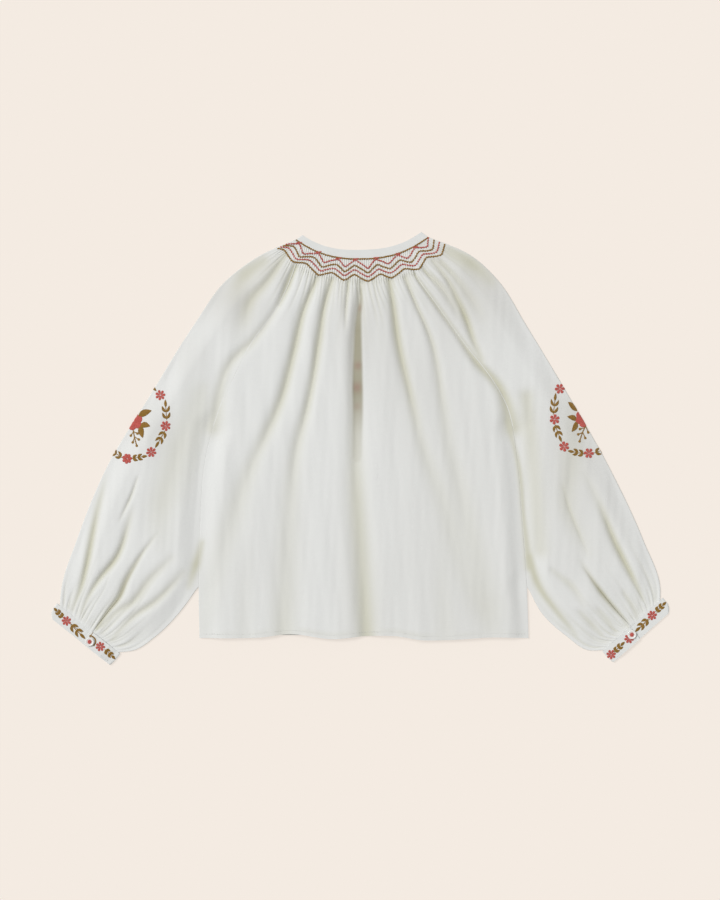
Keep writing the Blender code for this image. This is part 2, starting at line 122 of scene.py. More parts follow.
BACK_SEAM = Neckline(half=83, low=473.3, rise=26, power=2.4, tilt=1.5)
BACK_EDGE = Neckline(half=75, low=483.8, rise=21, power=2.6, tilt=2.0)
FRONT_SEAM = Neckline(half=83, low=438.5, rise=60.8, power=2.2, tilt=1.5)
FRONT_EDGE = Neckline(half=75, low=449.0, rise=55.8, power=2.3, tilt=2.0)
NECK_SLIT = {"half_width": 1.6, "length": 90.0}

RAGLAN = [
    Row(452, -87, 68),
    Row(415, -104, 93),
    Row(370, -136, 125),
    Row(320, -162, 163),
    Row(282, -179, 183),
    Row(258, -187, 189),
]
RAGLAN_START = {Side.LEFT: -76.0, Side.RIGHT: 60.0}
SIDE_SEAM = [
    Row(258, -187, 189),
    Row(222, -196, 194),
    Row(147, -202, 200),
    Row(62, -204, 206),
    Row(-1, -203, 208),
]
BACK_HEM = [(-127, 0), (-88, 4), (-37, -2), (5, 1.5), (40, 1.8), (75, -3.4), (105, -3.3), (165, 0)]
FRONT_HEM_Y = 2.5
OUTER_FOLD = [
    Row(474, -133, 141),
    Row(444, -172, 172),
    Row(391, -210, 205),
    Row(301, -266, 259),
    Row(211, -320, 310),
    Row(121, -357, 352),
    Row(61, -376, 373),
]
BILLOW = [Row(62, -205.5, 207.5), Row(31, -228, 224), Row(1, -258, 256), Row(-16, -284, 282)]
OUTER_SHARES = {"under_arm": 0.48, "billow": 0.87}  # how far down the outer fold each begins


class CuffRow(NamedTuple):
    """How far in each end of a cuff is drawn at a distance across it."""

    across: float
    outer: float
    inner: float


CUFF = {"length": 102.0, "round_off": 30.0}
CUFF_ROWS = [
    CuffRow(0, 0, 0),
    CuffRow(-9, 0.3, 0),
    CuffRow(-14, 2.5, 0.3),
    CuffRow(-17.5, 6, 1),
    CuffRow(-19, 9, 1.8),
]
CUFF_LAP = {"over_end": 56.0, "under_end": 74.0, "rise_from": 84.0, "rise_to": 96.0}
GATHERS = {"outer": 4.5, "inner": 98.5}  # the sleeve joins the cuff between these places along it
CUFF_PLACES = {Side.LEFT: ((-381.5, 42.5), -38.5), Side.RIGHT: ((376.3, 49.4), 41.5)}
BUTTON_PLACES = {Side.LEFT: (62.5, -11.5), Side.RIGHT: (60.2, -8.0)}  # along and across the cuff


class Slit(NamedTuple):
    """The slit of a sleeve: where it starts along the cuff, the places that it leads to, and its length."""

    along: float
    places: list[PlanPoint]
    length: float


SLITS = {
    Side.LEFT: Slit(58.0, [(-318, 30.5), (-302.5, 50), (-293, 71), (-277, 99), (-262, 124)], 42.0),
    Side.RIGHT: Slit(54.0, [(324.6, 25.4), (309, 43.5), (295, 61.2), (278, 84), (264, 103)], 52.0),
}


def smoothstep(share: Array) -> Array:
    """Eases from 0 to 1 as the share does."""
    share = np.clip(share, 0, 1)
    return share * share * (3 - 2 * share)


def darkened(*shades: Array) -> Array:
    """Shades laid over each other, each from 0 to 1."""
    return 1 - math.prod(1 - shade for shade in shades)


def steps_along(path: Array) -> Array:
    """The distance along a path of each of its points."""
    return np.concatenate([[0], np.cumsum(np.linalg.norm(np.diff(path, axis=0), axis=1))])


def read_path(path: Array, marks: Array, at: Array | float) -> Array:
    """The points of a path at places along it, where its own points lie at the marks."""
    return np.stack([np.interp(at, marks, path[:, axis]) for axis in range(path.shape[1])], axis=-1)


def evenly(path: Array, count: int) -> Array:
    """The same path with its points spaced evenly along it."""
    along = steps_along(path)
    return read_path(path, along, np.linspace(0, along[-1], count))


def smooth_path(points: Sequence[PlanPoint], count: int) -> Array:
    """Evenly spaced points on a smooth curve through the given ones.

    Args:
        points: the places that the curve passes through.
        count: how many points to return.

    Returns:
        An array of count plan points.
    """
    knots = np.array(points, float)
    chord = steps_along(knots)
    slopes = np.gradient(knots, chord, axis=0)
    at = np.linspace(0, chord[-1], 30 * len(knots))
    k = np.clip(np.searchsorted(chord, at, side="right") - 1, 0, len(knots) - 2)
    span = (chord[k + 1] - chord[k])[:, None]
    t = (at - chord[k])[:, None] / span
    leave = (1 - t) ** 2 * ((1 + 2 * t) * knots[k] + t * span * slopes[k])
    reach = t**2 * ((3 - 2 * t) * knots[k + 1] - (1 - t) * span * slopes[k + 1])
    return evenly(leave + reach, count)


def nearest_on(path: Array, points: Array) -> tuple[Array, Array]:
    """Measures points against a path.

    Args:
        path: plan points along the path.
        points: plan points to measure.

    Returns:
        How far each point is from the path, and the share of the path at which it is nearest.
    """
    start, step = path[:-1], np.diff(path, axis=0)
    square = (step * step).sum(1)
    best, at = np.full(len(points), np.inf), np.zeros(len(points))
    for k in range(len(step)):
        t = np.clip(((points - start[k]) @ step[k]) / square[k], 0, 1)
        gap = np.linalg.norm(points - start[k] - t[:, None] * step[k], axis=1)
        nearer = gap < best
        best[nearer] = gap[nearer]
        at[nearer] = (k + t[nearer]) / len(step)
    return best, at


def neck_path(line: Neckline, first: float, last: float, count: int) -> Array:
    """Points along a neckline between two places across it, each given as x."""
    x = np.linspace(first, last, 8 * count)
    return evenly(np.stack([x, line.y(x)], axis=1), count)


def edge_points(rows: Sequence[Row], side: Side) -> list[PlanPoint]:
    """The plan points of one side of a table of rows."""
    return [(getattr(row, side.word), row.y) for row in rows]


def cuff_point(side: Side, along: float, across: float) -> PlanPoint:
    """The plan point of a place on a cuff.

    Args:
        side: whose cuff.
        along: the distance from its outer end.
        across: the distance from its gathered edge, which is 0 or less.

    Returns:
        The point.
    """
    (x, y), degrees = CUFF_PLACES[side]
    turn = math.radians(degrees)
    local_x = -side.value * along
    return (
        x + local_x * math.cos(turn) - across * math.sin(turn),
        y + local_x * math.sin(turn) + across * math.cos(turn),
    )


def seam_path(seam: Neckline, side: Side, count: int) -> tuple[Array, int, int]:
    """The seam between the body and a sleeve, from the neck down the raglan and the side to the hem.

    Args:
        seam: the neck seam that it starts from.
        side: which side of the blouse.
        count: how many points to return.

    Returns:
        The path, and the numbers of its points at the underarm and where the sleeve leaves the body.
    """
    start = RAGLAN_START[side]
    knots = [(start, float(seam.y(start))), *edge_points(RAGLAN, side), *edge_points(SIDE_SEAM[1:], side)]
    path = smooth_path(knots, count)
    marks = (RAGLAN[-1].y, SIDE_SEAM[-2].y)
    under_arm, leaves = (int(np.abs(path[:, 1] - y).argmin()) for y in marks)
    return path, under_arm, leaves


def outer_fold(side: Side, count: int) -> Array:
    """The sleeve's outer fold, from the neck to the cuff.

    Args:
        side: whose sleeve.
        count: how many points to return.

    Returns:
        The path.
    """
    x = side.value * BACK_SEAM.half
    start = (x, float(BACK_SEAM.y(x)))
    return smooth_path([start, *edge_points(OUTER_FOLD, side), cuff_point(side, GATHERS["outer"], 0)], count)


def billow(side: Side, count: int) -> Array:
    """The sleeve's inner fold where it hangs free of the body, down to the cuff."""
    return smooth_path([*edge_points(BILLOW, side), cuff_point(side, GATHERS["inner"], 0)], count)


def hem_path(count: int) -> Array:
    """The back hem, from its left corner to its right one."""
    left, right = ((getattr(SIDE_SEAM[-1], side.word), SIDE_SEAM[-1].y) for side in Side)
    return smooth_path([left, *BACK_HEM, right], count)


# ---- folds of the upper layer


class Fold(NamedTuple):
    """A trough between folds, with painted shade along it. Width, depth and painted shade are read evenly
    along its path: width in millimetres, depth as a share of the cloth's lift, and painted shade as a share
    of the painted shadow colour."""

    path: list[PlanPoint]
    width: list[float]
    depth: list[float]
    tint: list[float]


BODY_FOLDS = [
    Fold([(-1, 441), (-9, 365), (-9, 278), (-6, 171), (0, 96), (6, -2)],
         [5, 8, 10, 12, 13, 13], [1, 1, 0.9, 0.65, 0.75, 0.9], [0.4, 0.25, 0.35, 0.6, 0.6, 0.8]),
    Fold([(-17, 444), (-20, 409), (-21, 380)], [3, 3, 3], [0.7, 0.5, 0], [0.6, 0.5, 0]),
    Fold([(-38, 446), (-48, 407), (-53, 374), (-66, 296), (-81, 237), (-92, 130), (-98, -2)],
         [4, 6, 6, 9, 14, 17, 17], [0.95, 0.95, 0.85, 0.6, 0.42, 0.5, 0.6],
         [0.7, 0.8, 0.6, 0.35, 0.22, 0.25, 0.4]),
    Fold([(-56, 449), (-73, 406), (-85, 356), (-101, 296), (-136, 217), (-178, 92), (-198, 10)],
         [4, 6, 7, 9, 16, 18, 18], [0.95, 0.9, 0.8, 0.5, 0.35, 0.3, 0.3],
         [0.7, 0.8, 0.7, 0.35, 0.25, 0.15, 0.12]),
    Fold([(-84, 463), (-96, 432), (-103, 416)], [3.5, 5, 4], [0.9, 0.8, 0.2], [0.9, 0.9, 0.3]),
    Fold([(34, 445), (39, 415), (45, 371), (62, 296), (76, 237), (98, 178), (135, 62), (161, 15)],
         [4.5, 6, 6, 8, 12, 14, 16, 16], [0.95, 0.95, 0.75, 0.5, 0.35, 0.3, 0.25, 0.25],
         [0.8, 0.9, 0.7, 0.3, 0.22, 0.2, 0.15, 0.15]),
    Fold([(54, 449), (66, 419), (86, 372), (100, 296), (109, 237), (124, 180), (160, 40)],
         [3, 4, 6, 10, 14, 16, 18], [0.8, 0.6, 0.5, 0.4, 0.32, 0.3, 0.3],
         [0.6, 0.5, 0.35, 0.22, 0.2, 0.2, 0.15]),
    Fold([(-83, 463), (-103, 417), (-136, 370), (-162, 345), (-186, 262)],
         [4, 5, 7, 7, 12], [0.9, 0.5, 0.45, 0.45, 1], [0.5, 0.3, 0.45, 0.4, 0.5]),
    Fold([(66, 453), (89, 420), (116, 382), (142, 345), (173, 310), (188, 262)],
         [3, 4, 4, 6, 7, 12], [0.8, 0.7, 0.7, 0.85, 0.85, 1], [0.6, 0.6, 0.5, 0.9, 0.9, 0.8]),
    Fold([(76, 459), (96, 440), (113, 415), (124, 392)],
         [3, 4, 5, 5], [0.8, 0.6, 0.4, 0], [0.6, 0.5, 0.3, 0]),
    Fold([(88, 470), (106, 447), (119, 422), (131, 395), (140, 368), (149, 348)],
         [3, 4, 5, 5, 5, 5], [0.7, 0.6, 0.7, 0.9, 0.6, 0.2], [0.5, 0.5, 0.7, 1, 0.7, 0.4]),
    Fold([(-95, 479), (-120, 442), (-136, 424), (-152, 380)],
         [4, 7, 9, 14], [0.7, 0.6, 0.5, 0.1], [0.6, 0.6, 0.6, 0.1]),
    Fold([(98, 470), (118, 447), (133, 427), (150, 400)],
         [4, 5, 7, 9], [0.6, 0.5, 0.4, 0.1], [0.4, 0.4, 0.3, 0.1]),
    Fold([(-124, 470), (-150, 447), (-158, 428)], [9, 12, 12], [0.3, 0.4, 0.1], [0.5, 0.7, 0.2]),
    Fold([(110, 482), (140, 464), (160, 447)], [9, 12, 12], [0.3, 0.4, 0.1], [0.6, 0.8, 0.4]),
    Fold([(181, 270), (195, 217), (202, 147), (209, 88)],
         [3.5, 4, 4, 6], [0.5, 0.5, 0.5, 0.5], [0.5, 0.75, 0.7, 0.8]),
    Fold([(92, 140), (100, 70), (104, 0)], [10, 13, 14], [0, 0.15, 0.22], [0, 0.1, 0.15]),
    Fold([(-138, 130), (-146, 60), (-148, 0)], [10, 13, 14], [0, 0.15, 0.22], [0, 0.08, 0.12]),
]
LEFT_SLEEVE_FOLDS = [
    Fold([(-205, 300), (-236, 209), (-252, 146), (-246, 96)],
         [16, 20, 20, 16], [0.2, 0.4, 0.35, 0], [0.2, 0.35, 0.35, 0]),
    Fold([(-198, 312), (-205, 245), (-219, 175)], [9, 10, 12], [0.1, 0.12, 0.05], [0.12, 0.15, 0.05]),
    Fold([(-319, 203), (-331, 155), (-336, 130), (-344, 88), (-352, 59), (-362, 36)],
         [5, 5, 5, 5, 4.5, 3.5], [0.1, 0.6, 0.9, 0.95, 0.9, 0.4], [0.1, 0.5, 0.85, 0.95, 0.9, 0.3]),
    Fold([(-286, 161), (-306, 100), (-331, 68), (-344, 46), (-350, 31)],
         [5, 4.5, 4.5, 4, 3.5], [0.05, 0.5, 0.75, 0.65, 0.35], [0.1, 0.65, 0.95, 0.7, 0.3]),
    Fold([(-280, 199), (-286, 181), (-302, 146)], [2.5, 2.5, 2.5], [0.15, 0.4, 0.1], [0.2, 0.5, 0.1]),
    Fold([(-255, 130), (-278, 99), (-294, 71), (-303, 50), (-319, 30), (-332, 10)],
         [2.5, 3, 4, 4.5, 3.5, 2.5], [0.05, 0.35, 0.5, 0.8, 0.75, 0.5], [0.1, 0.5, 0.7, 1, 0.95, 0.8]),
    Fold([(-238, 99), (-265, 71), (-286, 44), (-302, 34), (-325, 13)],
         [6, 6, 6, 5, 3.5], [0.15, 0.35, 0.45, 0.45, 0.3], [0.2, 0.4, 0.55, 0.5, 0.4]),
    Fold([(-223, 81), (-256, 46), (-286, 25), (-302, 9), (-313, -4)],
         [6, 5, 5, 4, 3], [0.2, 0.45, 0.55, 0.45, 0.3], [0.2, 0.5, 0.6, 0.5, 0.3]),
    Fold([(-200, 118), (-207, 92), (-216, 64)], [5, 6.5, 5], [0.3, 0.5, 0.2], [0.5, 0.95, 0.4]),
]
RIGHT_SLEEVE_FOLDS = [
    Fold([(262, 290), (262, 230), (256, 165), (281, 106)],
         [16, 16, 12, 10], [0.1, 0.3, 0.35, 0.1], [0.1, 0.3, 0.3, 0.1]),
    Fold([(279, 203), (298, 162), (316, 118), (335, 80), (344, 62), (350, 48)],
         [6, 6, 5, 5, 4.5, 3.5], [0.1, 0.25, 0.6, 0.75, 0.7, 0.4], [0.1, 0.25, 0.75, 1, 0.95, 0.4]),
    Fold([(251, 188), (257, 165), (269, 134), (281, 106)],
         [3, 3, 3, 3], [0.1, 0.25, 0.25, 0.05], [0.15, 0.35, 0.35, 0.05]),
    Fold([(270, 100), (295, 61), (310, 42), (325, 25), (333, 12)],
         [4, 3.5, 4, 4, 2.5], [0, 0.35, 0.8, 0.6, 0.3], [0, 0.45, 1, 0.75, 0.3]),
    Fold([(209, 100), (219, 68), (245, 30), (260, 12), (268, 2)],
         [5, 6, 5, 4.5, 3.5], [0.4, 0.6, 0.6, 0.5, 0.2], [0.85, 0.95, 0.85, 0.7, 0.3]),
    Fold([(272, 31), (291, 12), (300, 3)], [4, 4, 3], [0.3, 0.5, 0.3], [0.3, 0.5, 0.3]),
    Fold([(237, 84), (264, 61), (276, 42)], [4, 5, 5], [0.2, 0.4, 0.1], [0.2, 0.4, 0.1]),
    Fold([(295, 34), (308, 19), (316, 8)], [3.5, 3.5, 3], [0.3, 0.5, 0.4], [0.3, 0.4, 0.3]),
    Fold([(326, 56), (339, 34), (343, 24)], [3.5, 3.5, 3], [0.3, 0.5, 0.4], [0.3, 0.4, 0.3]),
    Fold([(205, 300), (215, 200), (222, 110)], [10, 12, 12], [0.3, 0.25, 0.2], [0.55, 0.4, 0.4]),
]


class Show(NamedTuple):
    """A place of the front's slit and facing: half their width there, and how darkly they show through, as
    painted shade.
    """

    place: PlanPoint
    half_width: float
    strength: float


# Painted shade where the front's slit and facing lie under the sheer back.
PAINTED_SLIT_SHADE = [
    Show((-1.5, 436), 0.9, 0.5),
    Show((-1.5, 421), 2.6, 0.85),
    Show((-3.2, 408), 4.2, 1.0),
    Show((-4.5, 390), 5.2, 0.98),
    Show((-5.2, 358), 6.0, 0.96),
    Show((-5.5, 318), 6.4, 1.0),
    Show((-5.2, 278), 6.2, 0.7),
    Show((-5.6, 258), 6.0, 0.35),
    Show((-6, 226), 6.0, 0.2),
]
# The coral ties beside the slit, as round spots.
TIES_SHOW = [
    Show((-1.5, 411), 5, 0.7),
    Show((-5, 339), 5, 0.9),
    Show((-6, 312), 6, 1.0),
    Show((-6, 288), 5, 0.6),
]


class PaintedShadePatch(NamedTuple):
    """A broad patch of painted shade, where the cloth looks greyer: its middle, its reach across and along,
    and how much.
    """

    x: float
    y: float
    across: float
    along: float
    amount: float


# Broad patches of painted shade, where the cloth is greyed to stand in for shading.
PAINTED_SHADE_PATCHES = [
    PaintedShadePatch(-165, 425, 42, 34, 0.62),
    PaintedShadePatch(-215, 350, 26, 40, 0.25),
    PaintedShadePatch(140, 430, 62, 55, 0.54),
    PaintedShadePatch(-118, 462, 26, 18, 0.45),
    PaintedShadePatch(98, 470, 14, 14, 0.3),
    PaintedShadePatch(-4, 390, 34, 62, 0.40),
    PaintedShadePatch(112, 170, 85, 190, 0.25),
    PaintedShadePatch(62, 330, 60, 70, 0.22),
    PaintedShadePatch(262, 250, 38, 75, 0.42),
    PaintedShadePatch(275, 150, 60, 120, 0.30),
    PaintedShadePatch(-150, 90, 60, 110, 0.15),
    PaintedShadePatch(-258, 262, 26, 36, 0.35),
    PaintedShadePatch(-12, 60, 22, 130, 0.28),
    PaintedShadePatch(60, 60, 30, 100, 0.12),
    PaintedShadePatch(-85, 120, 26, 110, 0.15),
    PaintedShadePatch(150, 20, 60, 60, 0.25),
    PaintedShadePatch(22, 30, 16, 70, 0.22),
]


class FoldField:
    """The heights and painted shade of the upper layer over the whole lay."""

    steepness: float = 1.7
    shadow_share: float = 0.9
    soft_edge: float = 2.2

    def __init__(self) -> None:
        """Draws the edges that hold the cloth down, and the path of every fold."""
        self.edges = [(Hold.NECK, neck_path(BACK_SEAM, -83, 83, 24)), (Hold.HEM, hem_path(24))]
        for side in Side:
            self.edges.append((Hold.FOLD, outer_fold(side, 40)))
            self.edges.append((Hold.SIDE, smooth_path(edge_points(SIDE_SEAM, side), 24)))
            self.edges.append((Hold.FOLD, billow(side, 24)))
            ends = [cuff_point(side, 0, 0), cuff_point(side, CUFF["length"], 0)]
            self.edges.append((Hold.CUFF, np.array(ends)))
        folds = [*BODY_FOLDS, *LEFT_SLEEVE_FOLDS, *RIGHT_SLEEVE_FOLDS]
        self.folds = [(fold, smooth_path(fold.path, 8 * len(fold.path))) for fold in folds]

    def held(self, points: Array) -> Array:
        """The share of the lift that the edges leave the cloth.

        Args:
            points: plan points.

        Returns:
            The share at each.
        """
        share = np.ones(len(points))
        for hold, path in self.edges:
            reach, at_edge = hold.value
            gap, _ = nearest_on(path, points)
            share *= at_edge + (1 - at_edge) * smoothstep(gap / reach)
        return share

    def read(self, points: Array) -> tuple[Array, Array]:
        """The upper layer's height and how deep in shadow it is.

        Args:
            points: plan points.

        Returns:
            The height of the cloth's middle surface, and its painted shade from 0 to 1.
        """
        lift = LIFT * self.held(points)
        tint = np.zeros(len(points))
        for fold, path in self.folds:
            reach = 3 * max(fold.width)
            low, high = path.min(0) - reach, path.max(0) + reach
            near = ((points > low) & (points < high)).all(1)
            if not near.any():
                continue
            gap, at = nearest_on(path, points[near])
            marks = np.linspace(0, 1, len(fold.width))
            width, depth, shade = (np.interp(at, marks, value) for value in fold[1:])
            # painted shade: each fold's trough is darkened towards the olive painted shadow colour
            shadow = np.exp(-((gap / (self.shadow_share * width)) ** 2))
            lift[near] *= 1 - depth * np.exp(-((gap / width) ** self.steepness))
            tint[near] = darkened(tint[near], shade * shadow)
        return REST + lift, tint

    @staticmethod
    def dim(points: Array) -> Array:
        """How much broad painted shade greys the cloth.

        Args:
            points: plan points.

        Returns:
            The painted shade at each, from 0 to 1.
        """
        clear = np.ones(len(points))
        for place in PAINTED_SHADE_PATCHES:
            gap = ((points - (place.x, place.y)) / (place.across, place.along)) ** 2
            clear *= 1 - place.amount * np.exp(-gap.sum(1))
        return 1 - clear

    def painted_slit_shade_through(self, points: Array) -> tuple[Array, Array]:
        """How strongly the front's slit shows through the cloth, as painted shade.

        Args:
            points: plan points.

        Returns:
            The strength of the slit's painted shade at each, and of the coral ties beside it, from 0 to 1.
        """
        places, halves, strengths = zip(*PAINTED_SLIT_SHADE)
        gap, at = nearest_on(smooth_path(places, 60), points)
        marks = np.linspace(0, 1, len(PAINTED_SLIT_SHADE))
        half, strength = (np.interp(at, marks, values) for values in (halves, strengths))
        slit = strength * smoothstep((half + self.soft_edge - gap) / (2 * self.soft_edge))
        ties = np.zeros(len(points))
        for place, reach, amount in TIES_SHOW:
            ties = np.maximum(ties, amount * np.exp(-((np.linalg.norm(points - place, axis=1) / reach) ** 2)))
        return slit, ties * np.minimum(slit, 1)


FOLDS = FoldField()


@dataclass(frozen=True)
class Gathers:
    """Fine gathers that start at a gathered edge and die away from it, drawn from a fixed seed."""

    seed: int
    count: int
    length: float
    depth: float
    start: float = 0.0

    def read(self, share: Array, span: Array, away: Array) -> tuple[Array, Array]:
        """How far the gathers press the cloth in.

        Args:
            share: the place across the cloth, from 0 to 1.
            span: the cloth's width there, in millimetres.
            away: the distance from the gathered edge.

        Returns:
            The drop in height, in millimetres, and a painted shade from 0 to 1.
        """
        dice = np.random.default_rng(self.seed)
        pitch = 1 / self.count
        drop, tint = np.zeros_like(away), np.zeros_like(away)
        for k in range(self.count):
            at = pitch * (k + 0.5 + dice.uniform(-0.3, 0.3))
            reach = self.length * dice.uniform(0.35, 1.3)
            deep = dice.uniform(0.45, 1.0)
            lean = dice.uniform(-0.35, 0.35) * pitch
            width = dice.uniform(0.8, 1.5)
            past = (away - self.start) / reach
            line = at + lean * past
            wide = width * (1 + 0.9 * np.clip(past, 0, 2))
            shape = np.exp(-np.abs((share - line) * span / wide) ** 1.8)
            fade = smoothstep((past + 0.12) / 0.12) * np.exp(-np.clip(past, 0, None) ** 1.6)
            drop += deep * self.depth * shape * fade
            # painted shade in the gather's trough
            tint = np.maximum(tint, deep * shape * fade)
        return drop, tint


class Crinkle(NamedTuple):
    """Waves of one size in washed voile: their length, and how high they are together."""

    length: float
    height: float


CRINKLES = [Crinkle(46.0, 0.30), Crinkle(24.0, 0.17), Crinkle(11.0, 0.07)]
WAVES_OF_EACH = 5


def crinkle(points: Array, seed: int) -> Array:
    """Soft unevenness of washed voile, longer down the cloth than across it.

    Args:
        points: plan points.
        seed: what its waves are drawn from.

    Returns:
        The rise at each point, a fraction of a millimetre.
    """
    dice = np.random.default_rng(seed)
    total = np.zeros(len(points))
    for length, height in CRINKLES:
        for _ in range(WAVES_OF_EACH):
            turn = dice.uniform(-0.5, 0.5)
            span = length * dice.uniform(0.8, 1.25)
            wave = np.array([math.cos(turn), 0.35 * math.sin(turn)]) * math.tau / span
            total += height / 2.2 * np.sin(points @ wave + dice.uniform(0, math.tau))
    return total


# ---- finishes


class Shader:
    """A small builder for a material's nodes."""

    def __init__(self, name: str) -> None:
        """Starts a material with one Principled shader."""
        self.material = bpy.data.materials.new(name)
        self.material.use_nodes = True
        self.tree = self.material.node_tree
        self.principled = self.tree.nodes["Principled BSDF"]

    def node(self, kind: str, **values: object) -> bpy.types.Node:
        """Adds a node.

        Args:
            kind: its type.
            values: its properties.

        Returns:
            The node.
        """
        made = self.tree.nodes.new(kind)
        for name, value in values.items():
            setattr(made, name, value)
        return made

    def link(self, source: Socket, target: Socket) -> None:
        """Joins two sockets."""
        self.tree.links.new(source, target)

    def set(self, **values: object) -> None:
        """Sets constant values on the Principled shader's own sockets, by name with _ for a space."""
        for name, value in values.items():
            self.principled.inputs[name.replace("_", " ")].default_value = value

    def attribute(self, name: str) -> Socket:
        """The number that the mesh stores under this name."""
        return self.node("ShaderNodeAttribute", attribute_name=name).outputs["Fac"]

    def mix(self, below: object, above: object, amount: object) -> Socket:
        """Mixes two colours.

        Args:
            below: the first, a colour or a socket.
            above: the second, a colour or a socket.
            amount: how much of the second, a number or a socket.

        Returns:
            The mixed colour's socket.
        """
        made = self.node("ShaderNodeMix", data_type="RGBA")
        for index, value in ((6, below), (7, above), (0, amount)):
            if isinstance(value, Socket):
                self.link(value, made.inputs[index])
            else:
                made.inputs[index].default_value = value if index == 0 else (*value, 1.0)
        return made.outputs[2]

    def scaled(self, source: Socket, factor: float) -> Socket:
        """Multiplies a number.

        Args:
            source: the number's socket.
            factor: what it is multiplied by.

        Returns:
            The product's socket.
        """
        made = self.node("ShaderNodeMath", operation="MULTIPLY")
        self.link(source, made.inputs[0])
        made.inputs[1].default_value = factor
        return made.outputs[0]

    def noise(self, scale: float, stretch: tuple[float, float, float], detail: float) -> Socket:
        """Adds noise on Object coordinates.

        Args:
            scale: how fine it is.
            stretch: how fine it is along each axis, beside that.
            detail: how many finer layers it has.

        Returns:
            The noise's socket.
        """
        place = self.node("ShaderNodeTexCoord").outputs["Object"]
        mapping = self.node("ShaderNodeMapping")
        mapping.inputs["Scale"].default_value = stretch
        self.link(place, mapping.inputs["Vector"])
        made = self.node("ShaderNodeTexNoise")
        made.inputs["Scale"].default_value = scale
        made.inputs["Detail"].default_value = detail
        self.link(mapping.outputs["Vector"], made.inputs["Vector"])
        return made.outputs["Fac"]

    def yarns(self, axis: str, spacing: float, wander: float) -> Socket:
        """Adds yarns side by side along one axis of the Object coordinates.

        Args:
            axis: the axis, X or Y.
            spacing: the yarns' distance in metres.
            wander: how much they waver.

        Returns:
            The yarns' socket.
        """
        place = self.node("ShaderNodeTexCoord").outputs["Object"]
        made = self.node("ShaderNodeTexWave", wave_type="BANDS", bands_direction=axis)
        made.inputs["Scale"].default_value = math.tau / (20 * spacing)
        made.inputs["Distortion"].default_value = wander
        made.inputs["Detail"].default_value = 1.0
        made.inputs["Detail Scale"].default_value = 0.4
        self.link(place, made.inputs["Vector"])
        return made.outputs["Fac"]

    def bump(self, height: Socket, distance: float) -> None:
        """Roughens the surface, over any roughening that it has.

        Args:
            height: the socket that raises it.
            distance: how far, in metres, at 1.
        """
        made = self.node("ShaderNodeBump")
        made.inputs["Strength"].default_value = 1.0
        made.inputs["Distance"].default_value = distance
        self.link(height, made.inputs["Height"])
        normal = self.principled.inputs["Normal"]
        if normal.is_linked:
            self.link(normal.links[0].from_socket, made.inputs["Normal"])
        self.link(made.outputs["Normal"], normal)


@dataclass(frozen=True)
class VoileFinish:
    """White cotton voile: a plain open weave with slubs, slightly sheer, with olive painted shade in its
    folds, broad painted shade, and painted shade along the slits.
    """

    name: str
    colour: Colour = (0.765, 0.770, 0.752)
    # the colours of the painted shade: olive in folds, grey in broad patches, dark along the slits
    painted_fold_shade_colour: Colour = (0.50, 0.485, 0.33)
    painted_broad_shade_colour: Colour = (0.60, 0.59, 0.555)
    painted_slit_shade_colour: Colour = (0.33, 0.31, 0.225)
    tie_colour: Colour = (0.33, 0.225, 0.18)
    shade: float = 0.72
    yarn: float = 0.0009
    yarn_height: float = 0.00005
    slub_height: float = 0.00012

    def tone(self, factor: float) -> Colour:
        """The cloth's colour, made lighter or darker by a factor."""
        return tuple(factor * c for c in self.colour)

    def make(self) -> Material:
        """Builds the material.

        Returns:
            The material.
        """
        shader = Shader(self.name)
        slub = shader.noise(900, (0.12, 1.0, 1.0), 2)
        cloud = shader.noise(30, (1.0, 0.6, 1.0), 3)
        mottled = shader.mix(self.tone(0.965), self.tone(1.03), slub)
        even = shader.mix(self.colour, self.tone(0.955), shader.scaled(cloud, 0.8))
        cloth = shader.mix(mottled, even, 0.6)
        # painted shade: broad grey patches from the dim attribute, then olive painted shade in the folds
        dimmed = shader.mix(cloth, self.painted_broad_shade_colour, shader.attribute("dim"))
        folded = shader.mix(dimmed, self.painted_fold_shade_colour, shader.scaled(shader.attribute("tint"), self.shade))
        # painted shade along the slits, then the coral ties' own colour seen through the cloth
        painted_slit_shade = shader.mix(folded, self.painted_slit_shade_colour, shader.scaled(shader.attribute("painted_slit_shade"), 0.95))
        tied = shader.mix(painted_slit_shade, self.tie_colour, shader.scaled(shader.attribute("ties"), 0.8))
        shader.link(tied, shader.principled.inputs["Base Color"])
        shader.set(Roughness=0.88, Sheen_Weight=0.15, Sheen_Roughness=0.5, Specular_IOR_Level=0.2)
        for axis in "XY":
            shader.bump(shader.yarns(axis, self.yarn, 1.5), self.yarn_height)
        shader.bump(slub, self.slub_height)
        return shader.material


@dataclass(frozen=True)
class ThreadFinish:
    """Stranded embroidery cotton with a soft lustre. Its ridges follow the number that each stitch stores
    across its strands, in millimetres, with painted shade in the grooves between them."""

    name: str
    colour: Colour
    painted_groove_shade: Colour
    strand: float = 0.62

    def make(self) -> Material:
        """Builds the material.

        Returns:
            The material.
        """
        shader = Shader(self.name)
        ridges = shader.node("ShaderNodeMath", operation="SINE")
        shader.link(shader.scaled(shader.attribute("strand"), math.tau / self.strand), ridges.inputs[0])
        lifted = shader.node("ShaderNodeMath", operation="MULTIPLY_ADD")
        shader.link(ridges.outputs[0], lifted.inputs[0])
        lifted.inputs[1].default_value = lifted.inputs[2].default_value = 0.5
        uneven = shader.noise(420, (1.0, 1.0, 1.0), 2)
        # painted shade: the colour darkens in the grooves between strands
        base = shader.mix(self.painted_groove_shade, self.colour, lifted.outputs[0])
        shader.link(shader.mix(base, self.colour, uneven), shader.principled.inputs["Base Color"])
        shader.set(Roughness=0.5, Sheen_Weight=0.2, Specular_IOR_Level=0.4)
        shader.bump(lifted.outputs[0], 0.0002)
        return shader.material


